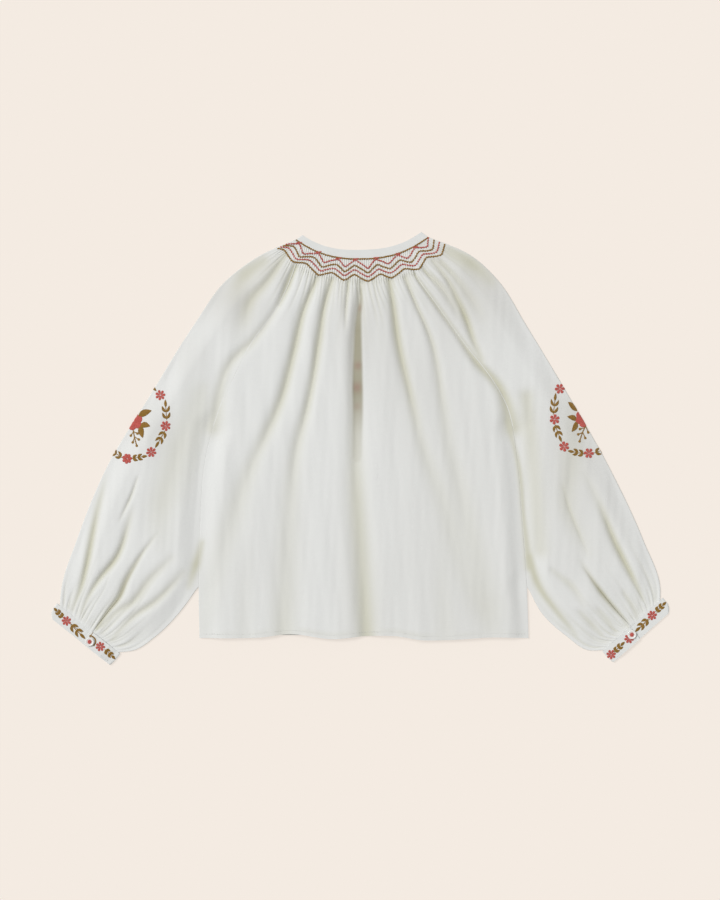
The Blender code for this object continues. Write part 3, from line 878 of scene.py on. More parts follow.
@dataclass(frozen=True)
class ButtonFinish:
    """Polished white resin with a faint cloudiness."""

    name: str = "button_resin"
    colour: Colour = (0.83, 0.83, 0.80)

    def make(self) -> Material:
        """Builds the material.

        Returns:
            The material.
        """
        shader = Shader(self.name)
        cloud = shader.noise(140, (1.0, 1.0, 1.0), 2)
        base = shader.mix(self.colour, tuple(0.93 * c for c in self.colour), cloud)
        shader.link(base, shader.principled.inputs["Base Color"])
        shader.set(Roughness=0.25, Specular_IOR_Level=0.5)
        return shader.material


@dataclass(frozen=True)
class GroundFinish:
    """A plain pale floor that gives back some light of its own, so that shadows on it stay faint."""

    colour: Colour = (0.905, 0.831, 0.761)
    glow: float = 0.72

    def make(self) -> Material:
        """Builds the material.

        Returns:
            The material.
        """
        shader = Shader("ground")
        dim = 1 - self.glow
        shader.set(Base_Color=(*(dim * c for c in self.colour), 1.0), Roughness=1.0, Specular_IOR_Level=0.0)
        shader.set(Emission_Color=(*self.colour, 1.0), Emission_Strength=self.glow)
        return shader.material


@dataclass
class Finishes:
    """Every material of the blouse, made once."""

    voile: Material = field(default_factory=VoileFinish("voile").make)
    band: Material = field(default_factory=VoileFinish("band_voile", (0.74, 0.747, 0.727)).make)
    coral: Material = field(
        default_factory=ThreadFinish("coral_thread", (0.62, 0.108, 0.082), (0.34, 0.048, 0.042)).make
    )
    olive: Material = field(
        default_factory=ThreadFinish("olive_thread", (0.355, 0.185, 0.016), (0.17, 0.084, 0.006)).make
    )
    white: Material = field(
        default_factory=ThreadFinish("white_thread", (0.80, 0.80, 0.76), (0.62, 0.62, 0.56)).make
    )
    button: Material = field(default_factory=ButtonFinish().make)


# ---- making pieces


def plan_shift() -> Array:
    """Finds where the garment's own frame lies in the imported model's, from the corner of its front.

    Returns:
        The step from one to the other, in millimetres.
    """
    low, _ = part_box("front")
    half_seam = 0.2
    widest = min(row.left for row in SIDE_SEAM) + half_seam
    return np.array([low[0] / MM - widest, low[1] / MM - FRONT_HEM_Y, 0.0])


SHIFT = plan_shift()


def placed(points: Array) -> Array:
    """Garment points in millimetres as model points in metres."""
    return (points + SHIFT) * MM


@dataclass
class Piece:
    """A finished mesh object on its way into the scene."""

    name: str
    slot: str
    material: Material
    nodes: tuple[str, ...] = ()

    def finish(self, bm: bmesh.types.BMesh, smooth: bool = True) -> bpy.types.Object:
        """Makes the object, with its material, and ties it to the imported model.

        Args:
            bm: its mesh, in model metres. It is freed.
            smooth: whether its faces are shaded smooth.

        Returns:
            The object.
        """
        mesh = bpy.data.meshes.new(self.name)
        bm.to_mesh(mesh)
        bm.free()
        if smooth:
            mesh.shade_smooth()
        mesh.materials.append(self.material)
        made = bpy.data.objects.new(self.name, mesh)
        bpy.context.scene.collection.objects.link(made)
        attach(made, "root")
        if self.nodes:
            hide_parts(*self.nodes)
        LOG.info("%s: %d faces", self.name, len(mesh.polygons))
        return made


def crisp_edges(piece: bpy.types.Object) -> None:
    """Keeps the shading of a sheet level as far as its edge, where a narrow rim turns down."""
    shading = piece.modifiers.new("shading", "WEIGHTED_NORMAL")
    shading.mode = "FACE_AREA"
    shading.weight = 90


def solid_wall(piece: bpy.types.Object, thickness: float) -> None:
    """Gives a sheet its thickness, half on each side.

    Args:
        piece: the sheet.
        thickness: how thick it is to be, in millimetres.
    """
    bm = bmesh.new()
    bm.from_mesh(piece.data)
    bmesh.ops.recalc_face_normals(bm, faces=bm.faces)
    bm.to_mesh(piece.data)
    bm.free()
    wall = piece.modifiers.new("wall", "SOLIDIFY")
    wall.thickness = thickness * MM
    wall.offset = 0


def dress_panel(piece: bpy.types.Object) -> None:
    """Gives a panel the thickness of voile."""
    solid_wall(piece, VOILE)
    crisp_edges(piece)


def grid_mesh(columns: int, rows: int) -> tuple[bmesh.types.BMesh, Array, Array]:
    """A flat grid to be shaped.

    Args:
        columns: how many faces across.
        rows: how many faces down.

    Returns:
        The bmesh, and each vertex's column and row number.
    """
    bm = bmesh.new()
    bmesh.ops.create_grid(bm, x_segments=columns, y_segments=rows, size=0.5)
    at = np.array([vert.co[:] for vert in bm.verts])
    column = np.round((at[:, 0] + 0.5) * columns).astype(int)
    row = np.round((0.5 - at[:, 1]) * rows).astype(int)
    return bm, column, row


def shape_grid(bm: bmesh.types.BMesh, points: Array, numbers: dict[str, Array]) -> None:
    """Shapes a grid and stores named numbers on its vertices.

    Args:
        bm: the grid.
        points: each vertex's garment point.
        numbers: each vertex's number, for every name.
    """
    for vert, place in zip(bm.verts, placed(points)):
        vert.co = place
    for name, values in numbers.items():
        layer = bm.verts.layers.float.new(name)
        for vert, value in zip(bm.verts, values):
            vert[layer] = value


def cut_between(bm: bmesh.types.BMesh, beside: Array, within: Array) -> None:
    """Removes the faces of a slit.

    Args:
        bm: the grid.
        beside: whether each vertex is in one of the two columns beside the slit.
        within: whether it is within the slit's length.
    """
    edge = {vert for vert, cut in zip(bm.verts, beside & within) if cut}
    gone = [face for face in bm.faces if all(vert in edge for vert in face.verts)]
    bmesh.ops.delete(bm, geom=gone, context="FACES_ONLY")


class ClothSurface:
    """The upper and under sides of finished pieces, to lay stitches on."""

    look_down_from: float = 0.05
    look_up_from: float = -0.01

    def __init__(self, pieces: Sequence[bpy.types.Object]) -> None:
        """Keeps a tree of each piece with its modifiers applied."""
        depsgraph = bpy.context.evaluated_depsgraph_get()
        self.trees = [BVHTree.FromObject(piece, depsgraph) for piece in pieces]

    def height(self, x: float, y: float, under: bool = False) -> float | None:
        """The height of the cloth's outer side at a plan point.

        Args:
            x: the point's x.
            y: its y.
            under: whether the underside is wanted.

        Returns:
            The height in millimetres, or None off the cloth.
        """
        start = self.look_up_from if under else self.look_down_from
        place = Vector(((x + SHIFT[0]) * MM, (y + SHIFT[1]) * MM, start))
        way = Vector((0, 0, 1 if under else -1))
        hits = [tree.ray_cast(place, way)[0] for tree in self.trees]
        heights = [hit.z / MM for hit in hits if hit is not None]
        if not heights:
            return None
        return min(heights) if under else max(heights)

    def lay(self, points: Array) -> Array:
        """Lays points on the cloth.

        Args:
            points: plan points, each with a height over the cloth.

        Returns:
            The garment points.
        """
        laid = points.copy()
        for k, (x, y, h) in enumerate(points):
            ground = self.height(x, y)
            laid[k, 2] = h + (REST if ground is None else ground)
        return laid


# ---- body


def between_edges(
    left: Array, right: Array, top: Array, bottom: Array, u: Array, v: Array
) -> Array:
    """Plan points spread between four edges that meet at their corners.

    Args:
        left: points evenly along the left edge, from the top.
        right: points evenly along the right edge, from the top.
        top: for each wanted point, the point of the top edge above it.
        bottom: for each wanted point, the point of the bottom edge below it.
        u: its share across.
        v: its share down.

    Returns:
        The plan points.
    """
    fine = np.linspace(0, 1, len(left))
    beside = [np.stack([np.interp(v, fine, path[:, k]) for k in (0, 1)], axis=1) for path in (left, right)]
    (l0, l1), (r0, r1) = (left[0], left[-1]), (right[0], right[-1])
    u, v = u[:, None], v[:, None]
    corners = (1 - v) * ((1 - u) * l0 + u * r0) + v * ((1 - u) * l1 + u * r1)
    return (1 - v) * top + v * bottom + (1 - u) * beside[0] + u * beside[1] - corners


@dataclass
class BackPanel:
    """The back of the body, smocked at the neck, falling in folds to a narrow hem."""

    finishes: Finishes
    columns: int = 300
    rows: int = 132
    length: float = 500.0
    neck_width: float = 136.0
    hem_width: float = 411.0
    smocked: float = 31.0
    pleats: int = 52
    pleat_height: float = 0.55
    hem: float = 5.0
    hem_height: float = 0.25
    sunk: float = 0.6

    def plan(self, column: Array, u: Array, v: Array) -> Array:
        """The plan points of the grid.

        Args:
            column: each vertex's column number.
            u: its share across.
            v: its share down.

        Returns:
            The points.
        """
        sides = [seam_path(BACK_SEAM, side, 800)[0] - (side.value * SEAM, 0) for side in Side]
        top = neck_path(BACK_SEAM, sides[0][0][0], sides[1][0][0], self.columns + 1)
        return between_edges(*sides, top[column], hem_path(self.columns + 1)[column], u, v)

    def build(self) -> bpy.types.Object:
        """Builds the panel.

        Returns:
            Its object.
        """
        bm, column, row = grid_mesh(self.columns, self.rows)
        u, v = column / self.columns, (row / self.rows) ** 1.5
        points = self.plan(column, u, v)
        height, tint = FOLDS.read(points)
        away = v * self.length
        span = self.neck_width + (self.hem_width - self.neck_width) * v**0.8
        smock = smoothstep((self.smocked + 5 - away) / 8)
        pleat = np.cos(math.tau * self.pleats * u) * smock
        coarse = Gathers(seed=11, count=30, length=42, depth=1.05, start=self.smocked)
        fine = Gathers(seed=5, count=56, length=14, depth=0.55, start=self.smocked - 4)
        (drop, shade), (fine_drop, fine_shade) = (kind.read(u, span, away) for kind in (coarse, fine))
        height += self.pleat_height * pleat - drop - fine_drop
        height += crinkle(points, 3) * smoothstep(away / 90) * smoothstep(np.minimum(u, 1 - u) * span / 14)
        to_hem, _ = nearest_on(hem_path(80), points)
        height += self.hem_height * smoothstep((self.hem - to_hem) / 0.8)
        height = np.maximum(height, REST - self.sunk)
        # painted shade in the gathers' troughs and between the smocked pleats
        tint = darkened(tint, 0.5 * shade, 0.3 * fine_shade, 0.3 * smock * (1 - pleat) / 2)
        # a painted shadow line along the hem's edge
        tint = np.maximum(tint, 0.5 * np.exp(-(((to_hem - self.hem) / 0.7) ** 2)))
        painted_slit_shade, ties = FOLDS.painted_slit_shade_through(points)
        numbers = {"tint": tint, "painted_slit_shade": painted_slit_shade, "ties": ties, "dim": FOLDS.dim(points)}
        shape_grid(bm, np.column_stack([points, height]), numbers)
        piece = Piece("back_cloth", "voile", self.finishes.voile, ("back",)).finish(bm)
        dress_panel(piece)
        return piece


@dataclass
class FrontPanel:
    """The front of the body, flat on the table, with a slit from the middle of its lower neckline."""

    finishes: Finishes
    columns: int = 161
    rows: int = 90
    length: float = 460.0
    smocked: float = 34.0
    pleats: int = 40
    pleat_height: float = 0.2
    parted: float = 12.0

    def plan(self, column: Array, v: Array) -> Array:
        """The plan points of the grid, whose two middle columns lie together on the middle line.

        Args:
            column: each vertex's column number.
            v: its share down.

        Returns:
            The points.
        """
        sides = []
        for side in Side:
            path = seam_path(FRONT_SEAM, side, 800)[0] - (side.value * SEAM, 0)
            sides.append(evenly(path[path[:, 1] >= FRONT_HEM_Y], 600))
        half = self.columns // 2
        neck = [neck_path(FRONT_SEAM, *ends, half + 1) for ends in ((sides[0][0][0], 0), (0, sides[1][0][0]))]
        foot = (0.0, FRONT_HEM_Y)
        hem = [evenly(np.array(ends), half + 1) for ends in ((sides[0][-1], foot), (foot, sides[1][-1]))]
        u = np.where(column <= half, column, column - 1) / (2 * half)
        points = between_edges(*sides, np.concatenate(neck)[column], np.concatenate(hem)[column], u, v)
        middle = column == half
        centre = np.interp(v, v[middle][::-1], points[middle, 0][::-1])
        points[:, 0] -= centre * (1 - np.abs(2 * u - 1))
        return points

    def build(self) -> bpy.types.Object:
        """Builds both halves, which the slit parts as far as its foot.

        Returns:
            Their object.
        """
        bm, column, row = grid_mesh(self.columns, self.rows)
        v = (row / self.rows) ** 1.25
        points = self.plan(column, v)
        half = self.columns // 2
        foot = FRONT_SEAM.low - NECK_SLIT["length"]
        open_by = NECK_SLIT["half_width"] * np.clip((points[:, 1] - foot) / NECK_SLIT["length"], 0, 1)
        near = np.exp(-((points[:, 0] / self.parted) ** 2))
        points[:, 0] += np.where(column <= half, -1, 1) * open_by * near
        smock = smoothstep((self.smocked + 20 - v * self.length) / 40)
        pleat = 1 - np.cos(math.tau * self.pleats * column / self.columns)
        height = FLAT + self.pleat_height * smock * pleat
        numbers = {name: np.zeros(len(v)) for name in ("tint", "painted_slit_shade", "ties", "dim")}
        shape_grid(bm, np.column_stack([points, height]), numbers)
        cut_between(bm, np.isin(column, (half, half + 1)), points[:, 1] > foot)
        bmesh.ops.remove_doubles(bm, verts=bm.verts, dist=0.03 * MM)
        piece = Piece("front_cloth", "voile", self.finishes.voile, ("front",)).finish(bm)
        dress_panel(piece)
        return piece


# ---- sleeves


@dataclass
class SleeveCloth:
    """A raglan balloon sleeve: a sheet open along its seams above the underarm, a tube below it, gathered
    at the neck and cuff and slit at the cuff."""

    side: Side
    finishes: Finishes
    rows: int = 176
    top: int = 168
    bottom: int = 22
    turn: int = 8
    tight: float = 0.5
    neck_reach: float = 110.0
    full_reach: float = 60.0
    gape: float = 0.1
    smocked: float = 36.0
    pleat: float = 2.7
    pleat_height: float = 0.5
    sunk: float = 0.7
    fine_steps: int = 1200

    def sections(self) -> tuple[Array, Array, Array, Array]:
        """The sleeve's long lines, read at each row.

        Returns:
            The outer fold, the back seam that leads into the inner fold, the front seam that does the same,
            and how nearly closed the tube is.
        """
        steps = np.arange(self.fine_steps)
        fold = outer_fold(self.side, self.fine_steps)
        free = billow(self.side, 300)
        at = (np.arange(self.rows + 1) / self.rows) ** 0.92
        marks = [0, OUTER_SHARES["under_arm"], OUTER_SHARES["billow"]]
        lines = []
        for seam in (BACK_SEAM, FRONT_SEAM):
            path, arm, leave = seam_path(seam, self.side, self.fine_steps)
            beside = read_path(path, steps, np.interp(at, marks, [0, arm, leave]))
            past = (at - marks[2]) / (1 - marks[2])
            hanging = read_path(free, np.linspace(0, 1, len(free)), past)
            lines.append(np.where((at > marks[2])[:, None], hanging, beside))
        outer = read_path(fold, steps, at * (self.fine_steps - 1))
        closed = smoothstep((at - marks[1] + 0.012) / 0.012)
        return outer, *lines, closed

    def ring(self, outer: Array, back: Array, front: Array, closed: float) -> Array:
        """One section of the sleeve.

        Args:
            outer: its point on the outer fold.
            back: its point on the back seam or the inner fold.
            front: its point on the front seam or the inner fold.
            closed: how nearly closed the tube is there.

        Returns:
            Its points, from the inner edge over the top and the outer fold and back underneath.
        """
        out = (outer - back) / np.linalg.norm(outer - back)
        radius, middle = (REST - FLAT) / 2, (REST + FLAT) / 2
        angles = np.radians(np.linspace(90, -90, self.turn + 1))
        centre = outer - out * (radius + 0.6)
        outward = np.outer(np.cos(angles) * radius, out)
        around = np.column_stack([centre + outward, middle + np.sin(angles) * radius])
        inner = back + out * (self.tight + SEAM)
        bend = np.radians(np.linspace(180, 90, self.turn + 1))
        inward = np.outer(np.cos(bend) * self.tight, out)
        shut = np.column_stack([inner + inward, middle + np.sin(bend) * radius])
        steps = np.linspace(0, radius, self.turn + 1)[:, None]
        free_top = back + out * (steps + SEAM)
        free_low = front + out * (steps + SEAM)
        upper, _ = FOLDS.read(free_top)
        open_top = np.column_stack([free_top, upper])
        open_low = np.column_stack([free_low, np.full(self.turn + 1, FLAT)])
        start = open_top * (1 - closed) + shut * closed
        mirrored = shut * (1, 1, -1) + (0, 0, 2 * middle)
        end = (open_low * (1 - closed) + mirrored * closed)[::-1]
        shares = np.linspace(0, 1, self.top + 1)[1:-1, None]
        over = start[-1] + (around[0] - start[-1]) * shares
        shares = np.linspace(0, 1, self.bottom + 1)[1:-1, None]
        below = around[-1] + (end[0] - around[-1]) * shares
        return np.concatenate([start, over, around, below, end])

    def build(self) -> bpy.types.Object:
        """Builds the sleeve.

        Returns:
            Its object.
        """
        outer, back, front, closed = self.sections()
        rings = np.array([self.ring(*line) for line in zip(outer, back, front, closed)])
        edge_column = rings.shape[1] - 1
        bm, column, row = grid_mesh(edge_column, self.rows)
        points = rings[row, column]
        first, last = self.turn, self.turn + self.top
        on_top = (column >= first) & (column <= last)
        share = np.clip((column - first) / self.top, 0, 1)
        length = steps_along(outer)
        width = np.linalg.norm(outer - back, axis=1)[row]
        from_neck, to_cuff = length[row], length[-1] - length[row]
        self.lead_slit(points, row, column, to_cuff)
        height, tint = FOLDS.read(points[:, :2])
        drop, shade = self.gathers(share, width, from_neck, to_cuff)
        ease = smoothstep(np.minimum(share, 1 - share) * width / 7)
        smock = smoothstep((self.smocked - from_neck) / 8)
        pleat = np.cos(math.tau * width / self.pleat * share) * smock
        lifted = height - (drop - self.pleat_height * pleat - crinkle(points[:, :2], 7)) * ease
        points[on_top, 2] = np.maximum(lifted, REST - self.sunk)[on_top]
        # painted shade in the gathers and smocking on top, and a faint even painted shade on the layer
        # beneath
        tint = np.where(on_top, darkened(tint, 0.6 * shade * ease, 0.2 * smock * (1 - pleat) / 2), 0.1)
        below = (column > last + self.turn) & (column < edge_column - self.turn)
        place = (column - last - self.turn) / self.bottom
        ripple = 0.3 * np.exp(-to_cuff / 30) * (1 - np.cos(math.tau * 5 * place))
        points[below, 2] += ripple[below]
        self.neck_edge(points, row, column)
        # painted shade along the edges of the sleeve's slit
        painted_slit_shade = np.where(on_top, self.slit_shade(points[:, :2]), 0)
        numbers = {"tint": tint, "painted_slit_shade": painted_slit_shade, "ties": np.zeros(len(points)), "dim": FOLDS.dim(points[:, :2])}
        shape_grid(bm, points, numbers)
        middle = self.slit_column()
        cut_between(bm, np.isin(column, (middle, middle + 1)), to_cuff < SLITS[self.side].length)
        bmesh.ops.remove_doubles(bm, verts=bm.verts, dist=0.02 * MM)
        name = f"sleeve_{self.side.word}"
        piece = Piece(f"{name}_cloth", "voile", self.finishes.voile, (name,)).finish(bm)
        dress_panel(piece)
        return piece

    def gathers(
        self, share: Array, width: Array, from_neck: Array, to_cuff: Array
    ) -> tuple[Array, Array]:
        """The fine gathers at both ends of the sleeve.

        Args:
            share: each point's place across the sleeve, from 0 to 1.
            width: the sleeve's width there.
            from_neck: its distance from the neck.
            to_cuff: its distance from the cuff.

        Returns:
            The drop in height, in millimetres, and a painted shade from 0 to 1.
        """
        seed = 20 if self.side is Side.LEFT else 40
        reach = smoothstep(to_cuff / 9 + 0.1)
        coarse = Gathers(seed, count=13, length=46, depth=1.6)
        fine = Gathers(seed + 1, count=26, length=20, depth=1.0)
        neck = Gathers(seed + 2, count=9, length=36, depth=0.8, start=33)
        found = [coarse.read(share, width, to_cuff), fine.read(share, width, to_cuff)]
        drop = sum(part for part, _ in found) * reach
        shade = np.maximum(found[0][1], 0.7 * found[1][1]) * smoothstep(to_cuff / 7)
        more, darker = neck.read(share, width, from_neck)
        return drop + more, np.maximum(shade, 0.7 * darker)

    def slit_path(self) -> Array:
        """The slit's path in plan, up from the cuff and on to the place that it leads to."""
        slit = SLITS[self.side]
        return smooth_path([cuff_point(self.side, slit.along, 0), *slit.places], 200)

    def slit_shade(self, points: Array) -> Array:
        """The shade along the edges of the slit.

        Args:
            points: plan points.

        Returns:
            The shade at each, from 0 to 1.
        """
        gap, at = nearest_on(self.slit_path(), points)
        return 0.6 * np.exp(-((gap / 1.5) ** 2)) * np.sin(math.pi * np.clip(at * 1.15, 0, 1))

    def slit_column(self) -> int:
        """The column of faces that the slit is cut in."""
        share = (GATHERS["inner"] - SLITS[self.side].along) / (GATHERS["inner"] - GATHERS["outer"])
        return self.turn + round(share * self.top)

    def lead_slit(self, points: Array, row: Array, column: Array, to_cuff: Array) -> None:
        """Draws the columns of the top along the slit near the cuff, and parts them there.

        Args:
            points: the sleeve's points, which are moved.
            row: each point's row number.
            column: each point's column number.
            to_cuff: each point's distance from the cuff.
        """
        path, slit_length = self.slit_path(), SLITS[self.side].length
        first, last = self.turn, self.turn + self.top
        home = (self.slit_column() - first + 0.5) / self.top
        for number in range(self.rows + 1):
            here = np.flatnonzero((row == number) & (column >= first) & (column <= last))
            here = here[column[here].argsort()]
            reach = to_cuff[here[0]]
            if reach > self.neck_reach:
                continue
            line = points[here, :2]
            span = line[-1] - line[0]
            width = np.linalg.norm(span)
            out = span / width
            across = (path - line[0]) @ out
            off = np.abs((path - line[0]) @ np.array([-out[1], out[0]]))
            aim = across[off.argmin()] / width
            share = (column[here] - first) / self.top
            bent = np.where(share < home, share * aim / home, 1 - (1 - share) * (1 - aim) / (1 - home))
            ease = smoothstep((self.neck_reach - reach) / (self.neck_reach - self.full_reach))
            moved = share + (bent - share) * ease
            if reach < slit_length:
                centre = home + (aim - home) * ease
                half = (0.08 + self.gape * math.sin(math.pi * reach / slit_length) ** 1.2) / width
                away = np.where(share < home, -1.0, 1.0) * half
                pushed = moved + away * np.exp(-(((moved - centre) * width / 7) ** 2))
                beside = np.abs(share - home) * self.top < 1
                moved = np.where(beside, centre + away, pushed)
            points[here, :2] = line[0] + moved[:, None] * span

    def neck_edge(self, points: Array, row: Array, column: Array) -> None:
        """Draws the first row onto the neck seams and eases the next ones after it.

        Args:
            points: the sleeve's points, which are moved.
            row: each point's row number.
            column: each point's column number.
        """
        last = self.turn + self.top
        order = column[row == 0].argsort()
        first = points[row == 0][order]
        seams = [BACK_SEAM if k <= last else FRONT_SEAM for k in range(len(first))]
        wanted = [seam.y(np.clip(x, -seam.half, seam.half)) - SEAM for seam, x in zip(seams, first[:, 0])]
        shift = np.array(wanted) - first[:, 1]
        points[:, 1] += shift[column] * np.clip(1 - row / 6, 0, 1) ** 2


# ---- bands and buttons


def band_mesh(stations: Array, across: int) -> bmesh.types.BMesh:
    """A strip whose two edges pass through the stations.

    Args:
        stations: an array of (first edge, second edge) points for each station along the strip.
        across: how many faces wide it is.

    Returns:
        The strip's middle surface.
    """
    bm, column, row = grid_mesh(across, len(stations) - 1)
    share = (column / across)[:, None]
    shape_grid(bm, stations[row, 0] * (1 - share) + stations[row, 1] * share, {})
    return bm


def dress_band(piece: bpy.types.Object, thickness: float) -> None:
    """Gives a band its thickness and rounds its edges.

    Args:
        piece: the band's middle surface.
        thickness: how thick it is to be, in millimetres.
    """
    solid_wall(piece, thickness)
    rounding = piece.modifiers.new("rounding", "BEVEL")
    rounding.width = 0.15 * MM
    rounding.segments = 2
    rounding.limit_method = "ANGLE"
    rounding.angle_limit = math.radians(50)
    crisp_edges(piece)


@dataclass
class NeckBinding:
    """One folded strip round the neck: from the slit over the front, round both shoulders and across the
    back."""

    finishes: Finishes
    thickness: float = 1.25
    low: float = 0.82
    high: float = 2.95
    across: int = 6
    turn: int = 10

    def stretch(
        self, lines: tuple[Neckline, Neckline], first: float, last: float, count: int, height: float
    ) -> Array:
        """One stretch of the band in one layer.

        Args:
            lines: the necklines at its outer and inner edge.
            first: the share of them at which it starts, from -1 to 1.
            last: the share at which it ends.
            count: how many stations it has.
            height: how high it lies.

        Returns:
            Its stations.
        """
        outside, inside = (neck_path(line, first * line.half, last * line.half, count) for line in lines)
        flat = np.stack([outside, inside], axis=1)
        return np.concatenate([flat, np.full((count, 2, 1), height)], axis=2)

    def shoulder(self, before: Array, after: Array, sign: float) -> Array:
        """The fold at a shoulder, between two layers.

        Args:
            before: the station before it.
            after: the station after it.
            sign: the sign of X on its side.

        Returns:
            Its stations.
        """
        radius = (self.high - self.low) / 2
        angles = np.radians(np.linspace(-90, 90, self.turn + 1)[1:-1] * -sign)
        share = ((1 - sign * np.sin(angles)) / 2)[:, None, None]
        turned = before + (after - before) * share
        turned[:, :, 0] += (sign * radius * np.cos(angles))[:, None]
        return turned

    def build(self) -> bpy.types.Object:
        """Builds the binding.

        Returns:
            Its object.
        """
        tip = 1 - ((self.high - self.low) / 2 + self.thickness / 2) / BACK_SEAM.half
        slit = NECK_SLIT["half_width"] / FRONT_SEAM.half
        front_lines = FRONT_SEAM, FRONT_EDGE
        left = self.stretch(front_lines, -slit, -tip, 60, self.low)
        back = self.stretch((BACK_SEAM, BACK_EDGE), -tip, tip, 110, self.high)
        right = self.stretch(front_lines, tip, slit, 60, self.low)
        turns = self.shoulder(left[-1], back[0], -1), self.shoulder(back[-1], right[0], 1)
        stations = np.concatenate([left, turns[0], back, turns[1], right])
        wave = 0.1 * np.sin(np.arange(len(stations)) * 0.35)
        stations[:, :, 2] += wave[:, None]
        made = Piece("neck_binding_cloth", "band", self.finishes.band, ("neck_binding",))
        piece = made.finish(band_mesh(stations, self.across))
        dress_band(piece, self.thickness)
        return piece


@dataclass
class Cuff:
    """A buttoned band flattened round the wrist, with its lap on the upper side."""

    side: Side
    finishes: Finishes
    thickness: float = 1.3
    low: float = 0.85
    under_rise: float = 2.0
    over_rise: float = 3.9
    gap: float = 0.12
    ripple: float = 0.12
    spacing: float = 0.9
    across: int = 16

    def section(self) -> Array:
        """The band seen end on.

        Returns:
            Evenly spaced points, each a distance along the cuff and a height, from under its lap to over it.
        """
        low = self.low
        under, over = low + self.under_rise, low + self.over_rise
        radius = (under - low) / 2
        turns = np.radians(np.linspace(90, 270, 13))
        around = np.column_stack([radius * (1 + np.cos(turns)) + low, low + radius * (1 + np.sin(turns))])
        inner = around[::-1] * (-1, 1) + (CUFF["length"], 0)
        start = [(CUFF_LAP["under_end"], under)]
        lap = [(CUFF_LAP["rise_to"], under), (CUFF_LAP["rise_from"], over), (CUFF_LAP["over_end"], over)]
        path = np.concatenate([start, around, inner, lap])
        length = np.linalg.norm(np.diff(path, axis=0), axis=1).sum()
        return evenly(path, int(length / self.spacing))

    def build(self) -> bpy.types.Object:
        """Builds the cuff.

        Returns:
            Its object.
        """
        section = self.section()
        bm, column, row = grid_mesh(self.across, len(section) - 1)
        depth = CUFF_ROWS[-1].across * column / self.across
        down = [-line.across for line in CUFF_ROWS]
        outer = np.interp(-depth, down, [line.outer for line in CUFF_ROWS])
        inner = np.interp(-depth, down, [line.inner for line in CUFF_ROWS])
        along, height = section[row].T
        near_outer = np.clip(1 - along / CUFF["round_off"], 0, None)
        near_inner = np.clip(1 - (CUFF["length"] - along) / CUFF["round_off"], 0, None)
        along = along + outer * near_outer - inner * near_inner
        x, y = cuff_point(self.side, along, depth + self.gap)
        wave = np.sin(along * 0.9 + 1.3 * np.sin(along * 0.23))
        raised = self.ripple * wave * (1 + depth / -CUFF_ROWS[-1].across)
        shape_grid(bm, np.column_stack([x, y, height + raised]), {})
        name = f"cuff_{self.side.word}"
        piece = Piece(f"{name}_cloth", "band", self.finishes.band, (name,)).finish(bm)
        dress_band(piece, self.thickness)
        return piece


@dataclass
class Button:
    """A round button with a dished face and four holes."""

    side: Side
    finishes: Finishes
    radius: float = 5.6
    height: float = 2.3
    floor: float = 1.6
    hole_at: float = 1.55
    hole_size: float = 0.62
    steps: int = 48

    def base(self) -> Array:
        """The garment point under the button's middle: on the lap of its cuff."""
        low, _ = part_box(f"button_{self.side.word}")
        x, y = cuff_point(self.side, *BUTTON_PLACES[self.side])
        return np.array([x, y, low[2] / MM])

    def build(self) -> bpy.types.Object:
        """Builds the button.

        Returns:
            Its object.
        """
        rim, top, floor, hole = self.radius, self.height, self.floor, self.hole_at
        back = [(0, 0), (hole, 0), (rim - 1.3, 0), (rim - 0.35, 0.35), (rim, 1.0)]
        lip = [(rim - 0.1, top - 0.5), (rim - 0.5, top - 0.1), (rim - 1.0, top), (rim - 1.4, top - 0.1)]
        dish = [(rim - 1.9, floor + 0.15), (rim - 2.5, floor), (hole, floor), (0, floor)]
        bm = bmesh.new()
        verts = [bm.verts.new((r, 0, z)) for r, z in back + lip + dish]
        edges = [bm.edges.new(pair) for pair in zip(verts, verts[1:])]
        turned = {"cent": (0, 0, 0), "axis": (0, 0, 1), "angle": math.tau, "steps": self.steps}
        bmesh.ops.spin(bm, geom=verts + edges, use_merge=True, **turned)
        bmesh.ops.remove_doubles(bm, verts=bm.verts, dist=0.01)
        self.drill(bm)
        bmesh.ops.recalc_face_normals(bm, faces=bm.faces)
        bmesh.ops.translate(bm, verts=bm.verts, vec=self.base() + SHIFT)
        bmesh.ops.scale(bm, verts=bm.verts, vec=(MM, MM, MM))
        name = f"button_{self.side.word}"
        return Piece(f"{name}_resin", "button", self.finishes.button, (name,)).finish(bm)

    def drill(self, bm: bmesh.types.BMesh) -> None:
        """Opens the four holes, from the floor of the dish to the back.

        Args:
            bm: the button, whose vertices above and below each hole become its rims.
        """
        for k in range(4):
            angle = math.radians(45 + 90 * k)
            x, y = self.hole_at * math.cos(angle), self.hole_at * math.sin(angle)
            here = [vert for vert in bm.verts if math.hypot(vert.co.x - x, vert.co.y - y) < 0.02]
            made = bmesh.ops.bevel(
                bm, geom=here, affect="VERTICES", offset=self.hole_size, segments=3, profile=0.5, material=-1,
                clamp_overlap=False,
            )
            level = [face for face in made["faces"] if abs(face.normal.z) > 0.9]
            ends = [face for face in level if math.dist(face.calc_center_median()[:2], (x, y)) < 0.2]
            rims = {edge for face in ends for edge in face.edges}
            bmesh.ops.delete(bm, geom=ends, context="FACES_ONLY")
            bmesh.ops.bridge_loops(bm, edges=list(rims))


# ---- embroidery


class Thread(Enum):
    """The threads that the blouse is worked in, each with its name in the finishes."""

    CORAL = "coral"
    OLIVE = "olive"
    WHITE = "white"


